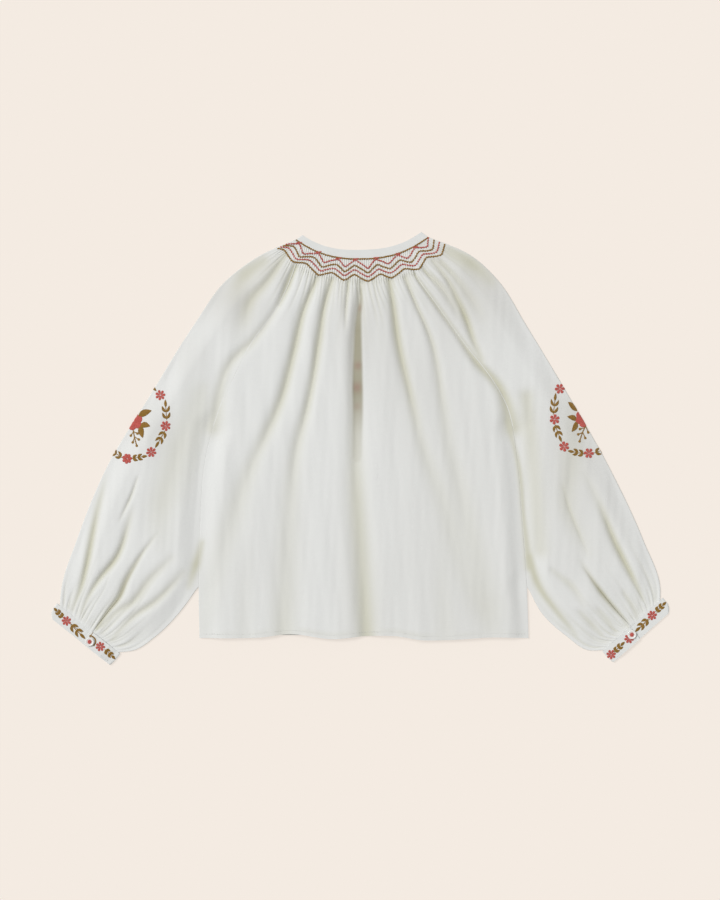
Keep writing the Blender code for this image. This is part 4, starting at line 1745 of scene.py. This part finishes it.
class Stitches:
    """Raised stitches of one thread, gathered into one mesh."""

    def __init__(self) -> None:
        """Starts with none."""
        self.bm = bmesh.new()
        self.strand = self.bm.verts.layers.float.new("strand")

    def pad(
        self,
        shape: Callable[[Array, Array, Array], tuple[Array, Array]],
        lay: ArrayMap,
        around: int = 12,
        along: int = 8,
    ) -> None:
        """Adds one closed, domed pad of thread.

        Args:
            shape: turns the share along the pad, from -1 to 1, and its section's across and up numbers,
                from -1 to 1, into plan points with a height over the cloth, and the strand numbers.
            lay: lays those points on the cloth, as garment points.
            around: how many faces round the section.
            along: how many faces from end to end.
        """
        turn = Matrix.Rotation(math.radians(90), 4, "Y")
        size = {"u_segments": around, "v_segments": along, "radius": 1.0}
        made = bmesh.ops.create_uvsphere(self.bm, matrix=turn, **size)["verts"]
        unit = np.array([vert.co[:] for vert in made])
        share = np.clip(unit[:, 0], -1, 1)
        ring = np.sqrt(np.clip(1 - share**2, 1e-9, 1))
        points, strand = shape(share, unit[:, 1] / ring, unit[:, 2] / ring)
        for vert, place, value in zip(made, placed(lay(points)), strand):
            vert.co = place
            vert[self.strand] = value


def heading(degrees: float) -> Array:
    """The unit step in a direction."""
    angle = math.radians(degrees)
    return np.array([math.cos(angle), math.sin(angle)])


def oval(share: Array) -> Array:
    """Half the width of a circle of radius 1, at a place along it from -1 to 1."""
    return np.sqrt(np.clip(1 - share**2, 0, 1))


def along_line(
    start: PlanPoint, end: PlanPoint, share: Array, across: Array, bend: float = 0.0
) -> Array:
    """Plan points beside a line.

    Args:
        start: where the line starts.
        end: where it ends.
        share: the place along it, from -1 to 1.
        across: the distance to its left, in millimetres.
        bend: how far its middle bows to the left, as a share of its length.

    Returns:
        The points.
    """
    start, end = np.array(start, float), np.array(end, float)
    way = end - start
    left = np.array([-way[1], way[0]]) / np.linalg.norm(way)
    bow = bend * np.linalg.norm(way) * (1 - share**2)
    return start + np.outer((share + 1) / 2, way) + np.outer(across + bow, left)


class Embroidery:
    """Satin-stitched motifs on one piece of cloth, in flat millimetres that lay turns into garment points."""

    # A spray's stem starts, bears its two pairs of leaves and its last leaf, and ends, from -1 to 1.
    spray_shares: Array = np.array([-1.0, -0.9, -0.26, 0.22, 1.0])
    leaf_angle: float = math.radians(29)
    leaf_share: float = 0.37

    def __init__(self, lay: ArrayMap, height: float = 0.55) -> None:
        """Starts with no stitches."""
        self.lay = lay
        self.height = height
        self.made: dict[Thread, Stitches] = {}

    def pad(
        self,
        thread: Thread,
        start: PlanPoint,
        end: PlanPoint,
        outline: ArrayMap,
        bend: float = 0.0,
        height: float = 1.0,
        veined: bool = False,
        around: int = 12,
        along: int = 8,
    ) -> None:
        """Adds a pad between two points.

        Args:
            thread: what it is worked in.
            start: its first end.
            end: its other end.
            outline: half its width in millimetres at a share along it from -1 to 1.
            bend: how far it bows to the left, as a share of its length.
            height: how much higher than the others it stands.
            veined: whether its stitches slant from a middle vein.
            around: how many faces round it.
            along: how many faces along it.
        """
        length = math.dist(start, end)

        def shape(share: Array, out: Array, up: Array) -> tuple[Array, Array]:
            """The pad's points and strands.

            Args:
                share: each point's place along the pad, from -1 to 1.
                out: its place across, from -1 to 1.
                up: its place upward, from -1 to 1.

            Returns:
                Its plan point with a height over the cloth, and its strand number.
            """
            half = outline(share)
            beside = out * half
            rise = np.where(up > 0, up, 0.25 * up) * self.height * height * np.minimum(1, half / 0.6)
            strand = (share * length / 2 - 1.1 * np.abs(beside)) if veined else beside
            return np.column_stack([along_line(start, end, share, beside, bend), rise]), strand

        self.made.setdefault(thread, Stitches()).pad(shape, self.lay, around, along)

    def leaf(self, base: PlanPoint, tip: PlanPoint, width: float, bend: float = 0.0) -> None:
        """Adds a pointed leaf.

        Args:
            base: its foot.
            tip: its point.
            width: its width.
            bend: how far it bows to the left, as a share of its length.
        """
        self.pad(
            Thread.OLIVE,
            base,
            tip,
            lambda s: width / 2 * (1 - s**2) ** 0.85 * (1 - 0.25 * s) * 1.05,
            bend=bend,
            veined=True,
            along=12,
        )

    def stem(self, points: Sequence[PlanPoint], width: float = 0.9) -> None:
        """Adds a line of thin stitches, each a little longer than its share of the way.

        Args:
            points: the places where one stitch ends and the next begins.
            width: how wide the stitches are.
        """
        for start, end in zip(points, points[1:]):
            reach = 1 + width / math.dist(start, end)
            start, end = along_line(start, end, np.array([-1.0, 1.0]) * reach, np.zeros(2))
            self.pad(
                Thread.OLIVE,
                start,
                end,
                lambda s: width / 2 * (1 - s**8) ** 0.5,
                height=0.6,
                around=6,
                along=5,
            )

    def flower(
        self, centre: PlanPoint, radius: float, turn: float = 0.0, petals: int = 7, fullness: float = 2.5
    ) -> None:
        """Adds an open flower, whose petals meet in its middle.

        Args:
            centre: its middle.
            radius: how long its petals are.
            turn: the direction of the first, in degrees.
            petals: how many it has.
            fullness: how broad they are; broader ones close the gaps between them.
        """
        for k in range(petals):
            way = heading(turn + 360 * k / petals)
            self.pad(
                Thread.CORAL,
                np.array(centre) + 0.05 * radius * way,
                np.array(centre) + radius * way,
                lambda s: fullness / petals * radius * oval(s) * (0.58 + 0.42 * s),
                around=10,
            )

    def spray(self, base: PlanPoint, tip: PlanPoint, width: float = 3.4) -> None:
        """Adds a laurel spray: a stem with two pairs of leaves that curve round it, and one at its tip.

        Args:
            base: the foot of its stem.
            tip: the point of its last leaf.
            width: how wide its leaves are.
        """
        way = np.array(tip, float) - np.array(base, float)
        length = np.linalg.norm(way)
        first, pair_a, pair_b, last, end = along_line(base, tip, self.spray_shares, np.zeros(5))
        self.stem([first, pair_a, pair_b, last], 1.1)
        for place in (pair_a, pair_b):
            for side in (-1, 1):
                angle = math.atan2(way[1], way[0]) + side * self.leaf_angle
                point = place + self.leaf_share * length * np.array([math.cos(angle), math.sin(angle)])
                self.leaf(place, point, width, bend=side * 0.11)
        self.leaf(last, end, width)

    def rose(self, centre: PlanPoint, radius: float) -> None:
        """Adds a full rose: six round petals that overlap about a raised middle.

        Args:
            centre: its middle.
            radius: how long its petals are.
        """
        for k in range(6):
            way = heading(20 + 60 * k)
            self.pad(
                Thread.CORAL,
                np.array(centre) + 0.1 * radius * way,
                np.array(centre) + radius * way,
                lambda s: 0.46 * radius * oval(s) * (0.85 + 0.3 * s),
                height=1.0 + 0.12 * (k % 2),
                around=16,
                along=12,
            )
        self.flower(centre, 0.42 * radius, turn=10, petals=5)

    def sprig(self, spine: Sequence[PlanPoint], berries: Sequence[tuple[PlanPoint, PlanPoint]]) -> None:
        """Adds a thin stem with berries.

        Args:
            spine: the places that its stem passes through, up to a berry at its end.
            berries: the foot of the stalk and the middle of every other berry.
        """
        line = smooth_path(spine, 6)
        self.stem(line, 1.6)
        self.berry(line[-1], line[-1] - line[-2])
        for foot, berry in berries:
            self.stem([foot, berry], 1.2)
            self.berry(np.array(berry), np.array(berry) - np.array(foot))

    def berry(self, centre: Array, way: Array) -> None:
        """Adds a berry, drawn out along its stalk.

        Args:
            centre: its middle.
            way: the direction of its stalk.
        """
        way = way / np.linalg.norm(way)
        self.pad(
            Thread.OLIVE,
            centre - 2.6 * way,
            centre + 1.9 * way,
            lambda s: 2.0 * oval(s) * (0.75 + 0.45 * s),
            around=10,
        )

    def finish(self, name: str, finishes: Finishes) -> list[bpy.types.Object]:
        """Makes one object for each thread.

        Args:
            name: what their names start with.
            finishes: the blouse's materials.

        Returns:
            The objects.
        """
        done = []
        for thread, stitches in self.made.items():
            slot = "voile" if thread is Thread.WHITE else f"{thread.value}_thread"
            piece = Piece(f"{name}_{thread.value}", slot, getattr(finishes, thread.value))
            done.append(piece.finish(stitches.bm))
        return done


def level_bed(top: float) -> ArrayMap:
    """Makes the function that lays a stitch level, just sunk into the cloth.

    Args:
        top: the height of the cloth's top below it.

    Returns:
        The function.
    """

    def lay(points: Array) -> Array:
        """Plan points, with heights over the cloth, as garment points."""
        return np.column_stack([points[:, :2], points[:, 2] + top - 0.1])

    return lay


@dataclass(frozen=True)
class StitchLine:
    """A row of equal stitches along a path, each bridging the cloth below it."""

    thread: Thread
    pitch: float
    length: float
    width: float
    height: float
    slant: float = 0.0

    def work(self, embroidery: Embroidery, surface: ClothSurface, path: Array, seed: int) -> None:
        """Works the row.

        Args:
            embroidery: what its stitches join.
            surface: the cloth that they lie on.
            path: its path in plan.
            seed: what its unevenness is drawn from.
        """
        dice = np.random.default_rng(seed)
        steps = steps_along(path)
        count = max(2, round(steps[-1] / self.pitch))
        for k in range(count):
            at = (k + 0.5) * steps[-1] / count
            before, after = (read_path(path, steps, at + step) for step in (-0.6, 0.6))
            x, y = (after - before) / max(np.linalg.norm(after - before), 1e-6)
            turn = math.radians(self.slant + dice.uniform(-7, 7))
            way = np.array([x * math.cos(turn) - y * math.sin(turn), x * math.sin(turn) + y * math.cos(turn)])
            middle = (before + after) / 2 + dice.uniform(-0.15, 0.15, 2)
            half = self.length / 2 * dice.uniform(0.9, 1.08)
            places = [middle + way * half * share for share in (-0.9, -0.45, 0, 0.45, 0.9)]
            known = [height for height in (surface.height(*place) for place in places) if height is not None]
            if not known:
                continue
            single = Embroidery(level_bed(max(known)), self.height)
            single.made = embroidery.made
            single.pad(
                self.thread,
                middle - way * half,
                middle + way * half,
                lambda s: self.width / 2 * np.clip(1 - s**4, 0, 1) ** 0.5,
                around=6,
                along=5,
            )


@dataclass
class Smocking:
    """Scalloped rows of smocking below the neck binding, over the gathered back and sleeve tops."""

    finishes: Finishes
    # Each point of the scallops, on the top row and on the bottom one.
    points: tuple[tuple[PlanPoint, PlanPoint], ...] = (
        ((-96.3, 490.4), (-106.5, 485.5)),
        ((-78.5, 492), (-96.9, 483.8)),
        ((-73.3, 478.1), (-87.5, 468.9)),
        ((-54.4, 480), (-68.8, 466.3)),
        ((-47.8, 467.5), (-55, 451.8)),
        ((-29.4, 472.5), (-36.3, 455.5)),
        ((-21.5, 461.9), (-23.3, 445.1)),
        ((-7.9, 471.5), (-9.3, 453.1)),
        ((7.5, 460), (6.9, 443.6)),
        ((17.1, 472.8), (23.1, 453.8)),
        ((32.5, 465.6), (37.3, 447.9)),
        ((44.8, 478), (52.5, 460)),
        ((56.6, 472), (71.3, 458.8)),
        ((66.3, 486.4), (79.9, 474.1)),
        ((81.9, 486.9), (99.5, 476.9)),
        ((82.8, 500.4), (103.7, 491.8)),
    )
    # Each row's share of the way down, and its thread.
    rows: tuple[tuple[float, Thread], ...] = (
        (0.0, Thread.CORAL),
        (0.36, Thread.OLIVE),
        (0.67, Thread.CORAL),
        (1.0, Thread.OLIVE),
    )
    olive_row: StitchLine = StitchLine(Thread.OLIVE, pitch=2.9, length=3.1, width=2.3, height=0.85, slant=16)
    coral_row: StitchLine = StitchLine(Thread.CORAL, pitch=3.1, length=3.0, width=2.1, height=0.85, slant=-14)
    cable: StitchLine = StitchLine(Thread.OLIVE, pitch=2.9, length=3.2, width=2.2, height=0.75, slant=14)
    knot: StitchLine = StitchLine(Thread.CORAL, pitch=1.7, length=3.0, width=1.6, height=0.95, slant=40)
    knots_at: tuple[int, ...] = (1, 3, 5, 7, 9, 11, 13)
    rounding: int = 7

    def waved(self, corners: Sequence[PlanPoint]) -> Array:
        """A path through the corners, with each turn rounded and a slight wander.

        Args:
            corners: the turns of the path.

        Returns:
            Its points, about half a millimetre apart.
        """
        sharp = evenly(np.array(corners), 420)
        start, end = (np.repeat(point, self.rounding, 0) for point in (sharp[:1], sharp[-1:]))
        padded = np.concatenate([start, sharp, end])
        kernel = np.hanning(2 * self.rounding + 3)[1:-1]
        kernel /= kernel.sum()
        path = np.stack([np.convolve(padded[:, axis], kernel, mode="valid") for axis in (0, 1)], axis=1)
        path[:, 1] += 0.3 * np.sin(np.arange(len(path)) * 0.21)
        return path

    def build(self, cloth: Sequence[bpy.types.Object]) -> list[bpy.types.Object]:
        """Works the rows, the cable under the binding, and the knots where they touch.

        Args:
            cloth: the pieces that it is worked on.

        Returns:
            One object for each thread.
        """
        surface = ClothSurface(cloth)
        work = Embroidery(surface.lay)
        for number, (share, thread) in enumerate(self.rows):
            corners = [tuple((1 - share) * np.array(top) + share * np.array(low)) for top, low in self.points]
            line = self.olive_row if thread is Thread.OLIVE else self.coral_row
            line.work(work, surface, self.waved(corners), seed=number)
        self.cable.work(work, surface, neck_path(BACK_SEAM, -82.4, 82.6, 160) - (0, 1.0), seed=9)
        for index in self.knots_at:
            x, y = self.points[index][0]
            self.knot.work(work, surface, np.array([(x - 3.2, y + 0.6), (x + 3.4, y + 0.9)]), seed=index)
        return work.finish("smocking", self.finishes)


@dataclass
class HemStitching:
    """A line of small white stitches that holds the narrow hem of the back."""

    finishes: Finishes
    inset: float = 5.0

    def build(self, cloth: Sequence[bpy.types.Object]) -> list[bpy.types.Object]:
        """Works the line.

        Args:
            cloth: the pieces that it is worked on.

        Returns:
            Its object, in a list.
        """
        surface = ClothSurface(cloth)
        work = Embroidery(surface.lay)
        path = hem_path(200) + (0, self.inset)
        path = path[(path[:, 0] > path[0, 0] + 3) & (path[:, 0] < path[-1, 0] - 3)]
        line = StitchLine(Thread.WHITE, pitch=3.4, length=2.4, width=0.5, height=0.3)
        line.work(work, surface, path, seed=3)
        return work.finish("hem_stitches", self.finishes)


class RoundFold:
    """Lays flat motifs on a sleeve where they cross its outer fold and go on underneath."""

    table: float = 0.02

    def __init__(self, side: Side, surface: ClothSurface) -> None:
        """Measures the sleeve's outer fold.

        Args:
            side: whose sleeve.
            surface: the sleeve's surface.
        """
        self.surface = surface
        self.path = outer_fold(side, 500)
        way = np.gradient(self.path, axis=0)
        way /= np.linalg.norm(way, axis=1)[:, None]
        self.inward = np.column_stack([-way[:, 1], way[:, 0]]) * np.sign(-side.value * -way[:, 1])[:, None]
        self.middle = (REST + FLAT) / 2
        self.skin = (REST - FLAT) / 2 + VOILE / 2
        self.bend = (REST - FLAT) / 2 + 0.6

    def lay(self, points: Array) -> Array:
        """Lays points over, round or under the fold.

        Args:
            points: flat points, each with a height over the cloth.

        Returns:
            The garment points.
        """
        laid = points.copy()
        for k, (x, y, h) in enumerate(points):
            nearest = int(np.linalg.norm(self.path - (x, y), axis=1).argmin())
            foot, inward = self.path[nearest], self.inward[nearest]
            depth = float((np.array([x, y]) - foot) @ inward)
            beyond = self.bend - depth
            if beyond <= 0:
                ground = self.surface.height(x, y)
                laid[k, 2] = h + (REST if ground is None else ground)
                continue
            base = np.array([x, y]) - depth * inward
            if beyond < math.pi * self.skin:
                angle = beyond / self.skin
                reach = self.skin + h
                laid[k, :2] = base + inward * (self.bend - reach * math.sin(angle))
                laid[k, 2] = max(self.middle + reach * math.cos(angle), self.table)
                continue
            place = base + inward * (self.bend + beyond - math.pi * self.skin)
            ground = self.surface.height(*place, under=True)
            laid[k, :2] = place
            laid[k, 2] = max((FLAT - VOILE / 2 if ground is None else ground) - 0.5 * h, self.table)
        return laid


@dataclass
class SleeveWreath:
    """A ring of flowers and laurel sprays round a rose, half on the sleeve's upper side and half beneath."""

    side: Side
    finishes: Finishes
    flower: float = 6.5
    densest: int = 3

    def ring(self, degrees: float, radius: float) -> PlanPoint:
        """A point of the ring, from its middle on the sleeve's fold."""
        x, y = (-286.3, 268.8) if self.side is Side.LEFT else (282.5, 271.3)
        angle = math.radians(degrees)
        return x + radius * math.cos(angle), y + radius * math.sin(angle)

    def flowers(self) -> list[PlanPoint]:
        """Where the flowers are.

        Returns:
            The middles of the ones on the upper side, then of the ones beneath.
        """
        if self.side is Side.LEFT:
            above = [(-251.7, 302.3), (-244.8, 263.8), (-262.7, 231.2), (-293, 223)]
            return above + [self.ring(degrees, 45) for degrees in (-149, 158, 102)]
        above = [(247.1, 310.2), (240.1, 272), (252, 238.1), (283.1, 229.8)]
        return above + [self.ring(degrees, 44) for degrees in (318, 15, 72)]

    def sprays(self) -> list[tuple[PlanPoint, PlanPoint]]:
        """Where the sprays are.

        Returns:
            The base and tip of each, in the same order.
        """
        if self.side is Side.LEFT:
            above = [
                ((-243.4, 271.4), (-245.4, 297.0)),
                ((-245.7, 257.4), (-257.8, 236.4)),
                ((-286.8, 223.2), (-267.3, 226.4)),
                ((-299.5, 224.6), (-319, 236)),
            ]
            beneath = [((-158, 45), (-190, 45)), ((150, 45), (116, 45)), ((92, 46), (60, 47.5))]
        else:
            above = [
                ((238.4, 278.4), (241.8, 305.2)),
                ((240.4, 265.4), (248.8, 243.4)),
                ((277, 229), (256.4, 232.8)),
                ((290.3, 230.3), (312, 237)),
            ]
            beneath = [((327, 44), (364, 44)), ((24, 44), (60, 44)), ((81, 44), (121, 47))]
        return above + [(self.ring(*base), self.ring(*tip)) for base, tip in beneath]

    def left_posy(self, work: Embroidery) -> None:
        """Works the left sleeve's rose, with leaves, berries and a bud leaf above it.

        Args:
            work: what its stitches join.
        """
        work.rose((-285.6, 270.2), 11.7)
        work.leaf((-279.3, 275.8), (-262.4, 283), 8.0, bend=0.06)
        work.leaf((-277.4, 264), (-263.9, 263.3), 7.0, bend=0.12)
        work.leaf((-276.6, 264.8), (-273.2, 248.8), 7.2, bend=-0.04)
        work.leaf((-263.5, 314.2), (-256.6, 307.2), 3.8)
        berries = [
            ((-285.6, 256.4), (-288.4, 252)),
            ((-285.6, 257), (-280.4, 254.4)),
            ((-284, 250.4), (-278.6, 247)),
            ((-284, 249.6), (-285.9, 243.6)),
        ]
        work.sprig([(-286, 260), (-284, 250), (-281, 239.4)], berries)

    def right_posy(self, work: Embroidery) -> None:
        """Works the right sleeve's rose, with leaves and berries.

        Args:
            work: what its stitches join.
        """
        work.rose((277.4, 273.4), 11.4)
        work.leaf((268.6, 282.3), (257.2, 293.8), 7.0, bend=-0.05)
        work.leaf((268.6, 270.8), (256.0, 275.4), 6.4, bend=-0.1)
        work.leaf((268.2, 269.6), (261.6, 256.4), 6.2, bend=0.08)
        berries = [
            ((277, 261.4), (272.3, 260)),
            ((275, 255.6), (270, 253.4)),
            ((275.6, 256), (278.6, 249)),
            ((279.2, 263.8), (282.4, 256)),
        ]
        work.sprig([(279.4, 264), (275.4, 256), (271.6, 244.8)], berries)

    def motifs(self, work: Embroidery) -> None:
        """Works the ring and the posy in its middle.

        Args:
            work: what their stitches join.
        """
        left = self.side is Side.LEFT
        for number, place in enumerate(self.flowers()):
            fullness = 3.3 if left and number == self.densest else 2.75
            work.flower(place, self.flower, turn=17 * number + 5, petals=7 if left else 6, fullness=fullness)
        for base, tip in self.sprays():
            work.spray(base, tip)
        posy = self.left_posy if left else self.right_posy
        posy(work)

    def build(self, sleeve: bpy.types.Object) -> list[bpy.types.Object]:
        """Works the wreath.

        Args:
            sleeve: the sleeve that it is worked on.

        Returns:
            One object for each thread.
        """
        surface = ClothSurface([sleeve])
        work = Embroidery(RoundFold(self.side, surface).lay, 0.5)
        self.motifs(work)
        return work.finish(f"wreath_{self.side.word}", self.finishes)


@dataclass
class CuffSprigs:
    """Flowers and laurel sprays along a cuff, the thread that holds its button, and its topstitching."""

    side: Side
    finishes: Finishes

    def flowers(self) -> list[PlanPoint]:
        """Where the flowers are, along and across the cuff."""
        if self.side is Side.LEFT:
            return [(23.5, -9.5), (76.6, -8.0)]
        return [(25.2, -7.2), (66.0, -9.6), (95.9, -9.9)]

    def sprays(self) -> list[tuple[PlanPoint, PlanPoint]]:
        """The base and tip of each spray."""
        if self.side is Side.LEFT:
            return [((17.5, -8.8), (0.9, -6.6)), ((30.5, -9.8), (56.2, -12.4)), ((83.5, -7.4), (101.2, -8.8))]
        return [((18.6, -6.6), (0.8, -6.4)), ((32.0, -7.6), (55.0, -8.6)), ((91.0, -9.8), (72.6, -9.0))]

    def lay(self, surface: ClothSurface) -> ArrayMap:
        """Makes the function that lays cuff points on the cuff.

        Args:
            surface: the cuff's surface.

        Returns:
            The function.
        """

        def on_cuff(points: Array) -> Array:
            """Cuff points with a height over it, as garment points."""
            x, y = cuff_point(self.side, points[:, 0], points[:, 1])
            return surface.lay(np.column_stack([x, y, points[:, 2]]))

        return on_cuff

    def slit_bar(self, work: Embroidery) -> None:
        """Works the arc of thread round the button, and the bar and knot that close the slit above it.

        Args:
            work: what the stitches join.
        """
        arc = smooth_path([(59.4, -4.7), (64.6, -4.3), (68.6, -7.0), (69.6, -12)], 7)
        work.stem(arc, 1.9)
        work.stem([(58.6, 0.0), (58.7, -4.9)], 0.8)
        work.stem([(58.3, -5.2), (59.1, -6.4)], 2.0)

    def button_thread(self, work: Embroidery) -> None:
        """Works the four crossing threads that hold the button.

        Args:
            work: what the threads join.
        """
        button_at = BUTTON_PLACES[self.side]
        thread = Embroidery(self.on_button(), 0.9)
        thread.made = work.made
        for degrees in (-45, 0, 45, 90):
            reach = 3.1 * heading(degrees)
            thread.pad(
                Thread.CORAL,
                button_at - reach,
                button_at + reach,
                lambda s: np.clip(1 - s**4, 0, 1) ** 0.5,
                around=8,
                along=6,
            )

    def build(self, cuff: bpy.types.Object) -> list[bpy.types.Object]:
        """Works the motifs.

        Args:
            cuff: the cuff that they are worked on.

        Returns:
            One object for each thread.
        """
        surface = ClothSurface([cuff])
        work = Embroidery(self.lay(surface), 0.5)
        work.stem([(along, -9.0 + 0.4 * math.sin(along)) for along in np.arange(16, 52, 4.0)], 0.7)
        if self.side is Side.LEFT:
            self.slit_bar(work)
        for number, place in enumerate(self.flowers()):
            work.flower(place, 6.1, turn=23 * number + 8, petals=7, fullness=2.8)
        for base, tip in self.sprays():
            work.spray(base, tip, width=3.6)
        self.button_thread(work)
        self.topstitch(work, surface)
        return work.finish(f"cuff_{self.side.word}", self.finishes)

    def on_button(self) -> ArrayMap:
        """Makes the function that lays thread on the floor of the button's dish.

        Returns:
            The function.
        """
        floor = Button(self.side, self.finishes).base()[2] + Button.floor

        def lay(points: Array) -> Array:
            """Cuff points with a height over the dish, as garment points."""
            x, y = cuff_point(self.side, points[:, 0], points[:, 1])
            return np.column_stack([x, y, floor - 0.1 + points[:, 2]])

        return lay

    def topstitch(self, work: Embroidery, surface: ClothSurface) -> None:
        """Works a line of small white stitches inside the cuff's lower edge.

        Args:
            work: what its stitches join.
            surface: the cuff that they lie on.
        """
        along = np.linspace(9, 99, 60)
        path = np.column_stack(cuff_point(self.side, along, np.full(60, -16.2)))
        line = StitchLine(Thread.WHITE, pitch=3.2, length=2.2, width=0.5, height=0.25)
        line.work(work, surface, path, seed=5)


# ---- studio


@dataclass(frozen=True)
class Studio:
    """The floor, the light and the camera, which looks straight down."""

    view_height: float = 1.125
    distance: float = 3.0
    sensor: float = 36.0
    sun_share: float = 0.52
    sun_from: tuple[float, float, float] = (-0.62, 0.42, 1.0)
    sun_spread: float = 24.0
    floor_drop: float = 0.0001
    centre: tuple[float, float] = (-0.0003, -0.0017)

    def build(self) -> None:
        """Sets up the floor, the lights and the camera."""
        scene = bpy.context.scene
        scene.view_settings.view_transform = "Standard"
        bm = bmesh.new()
        bmesh.ops.create_grid(bm, x_segments=1, y_segments=1, size=3.0)
        mesh = bpy.data.meshes.new("floor")
        bm.to_mesh(mesh)
        bm.free()
        mesh.transform(Matrix.Translation((0, 0, -self.floor_drop)))
        mesh.materials.append(GroundFinish().make())
        floor = bpy.data.objects.new("floor", mesh)
        scene.collection.objects.link(floor)
        world = bpy.data.worlds.new("sky")
        world.use_nodes = True
        sky = world.node_tree.nodes["Background"]
        sky.inputs["Color"].default_value = (1.0, 1.0, 1.0, 1.0)
        sky.inputs["Strength"].default_value = 1 - self.sun_share
        scene.world = world
        self.sun()
        self.camera()

    def sun(self) -> None:
        """A wide soft lamp from the upper left."""
        way = Vector(self.sun_from).normalized()
        lamp = bpy.data.lights.new("soft_lamp", "SUN")
        lamp.energy = self.sun_share * math.pi / way.z
        lamp.angle = math.radians(self.sun_spread)
        made = bpy.data.objects.new("soft_lamp", lamp)
        made.rotation_euler = way.to_track_quat("Z", "Y").to_euler()
        bpy.context.scene.collection.objects.link(made)

    def camera(self) -> None:
        """A long lens straight above the blouse."""
        data = bpy.data.cameras.new("camera")
        data.sensor_fit = "VERTICAL"
        data.sensor_height = self.sensor
        data.lens = self.sensor * self.distance / self.view_height
        made = bpy.data.objects.new("camera", data)
        made.location = (*self.centre, self.distance)
        bpy.context.scene.collection.objects.link(made)
        bpy.context.scene.camera = made


def main() -> None:
    """Builds the blouse and its studio in order."""
    logging.basicConfig(level=logging.INFO, format="%(name)s: %(message)s")
    Studio().build()
    finishes = Finishes()
    pieces = {"back": BackPanel(finishes).build(), "front": FrontPanel(finishes).build()}
    pieces["neck_binding"] = NeckBinding(finishes).build()
    for side in Side:
        word = side.word
        sleeve = pieces[f"sleeve_{word}"] = SleeveCloth(side, finishes).build()
        SleeveWreath(side, finishes).build(sleeve)
        cuff = pieces[f"cuff_{word}"] = Cuff(side, finishes).build()
        button = Button(side, finishes).build()
        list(CuffSprigs(side, finishes).build(cuff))
    upper = [pieces["back"], pieces["sleeve_left"], pieces["sleeve_right"]]
    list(Smocking(finishes).build(upper))
    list(HemStitching(finishes).build([pieces["back"]]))


if __name__ == "__main__":
    main()
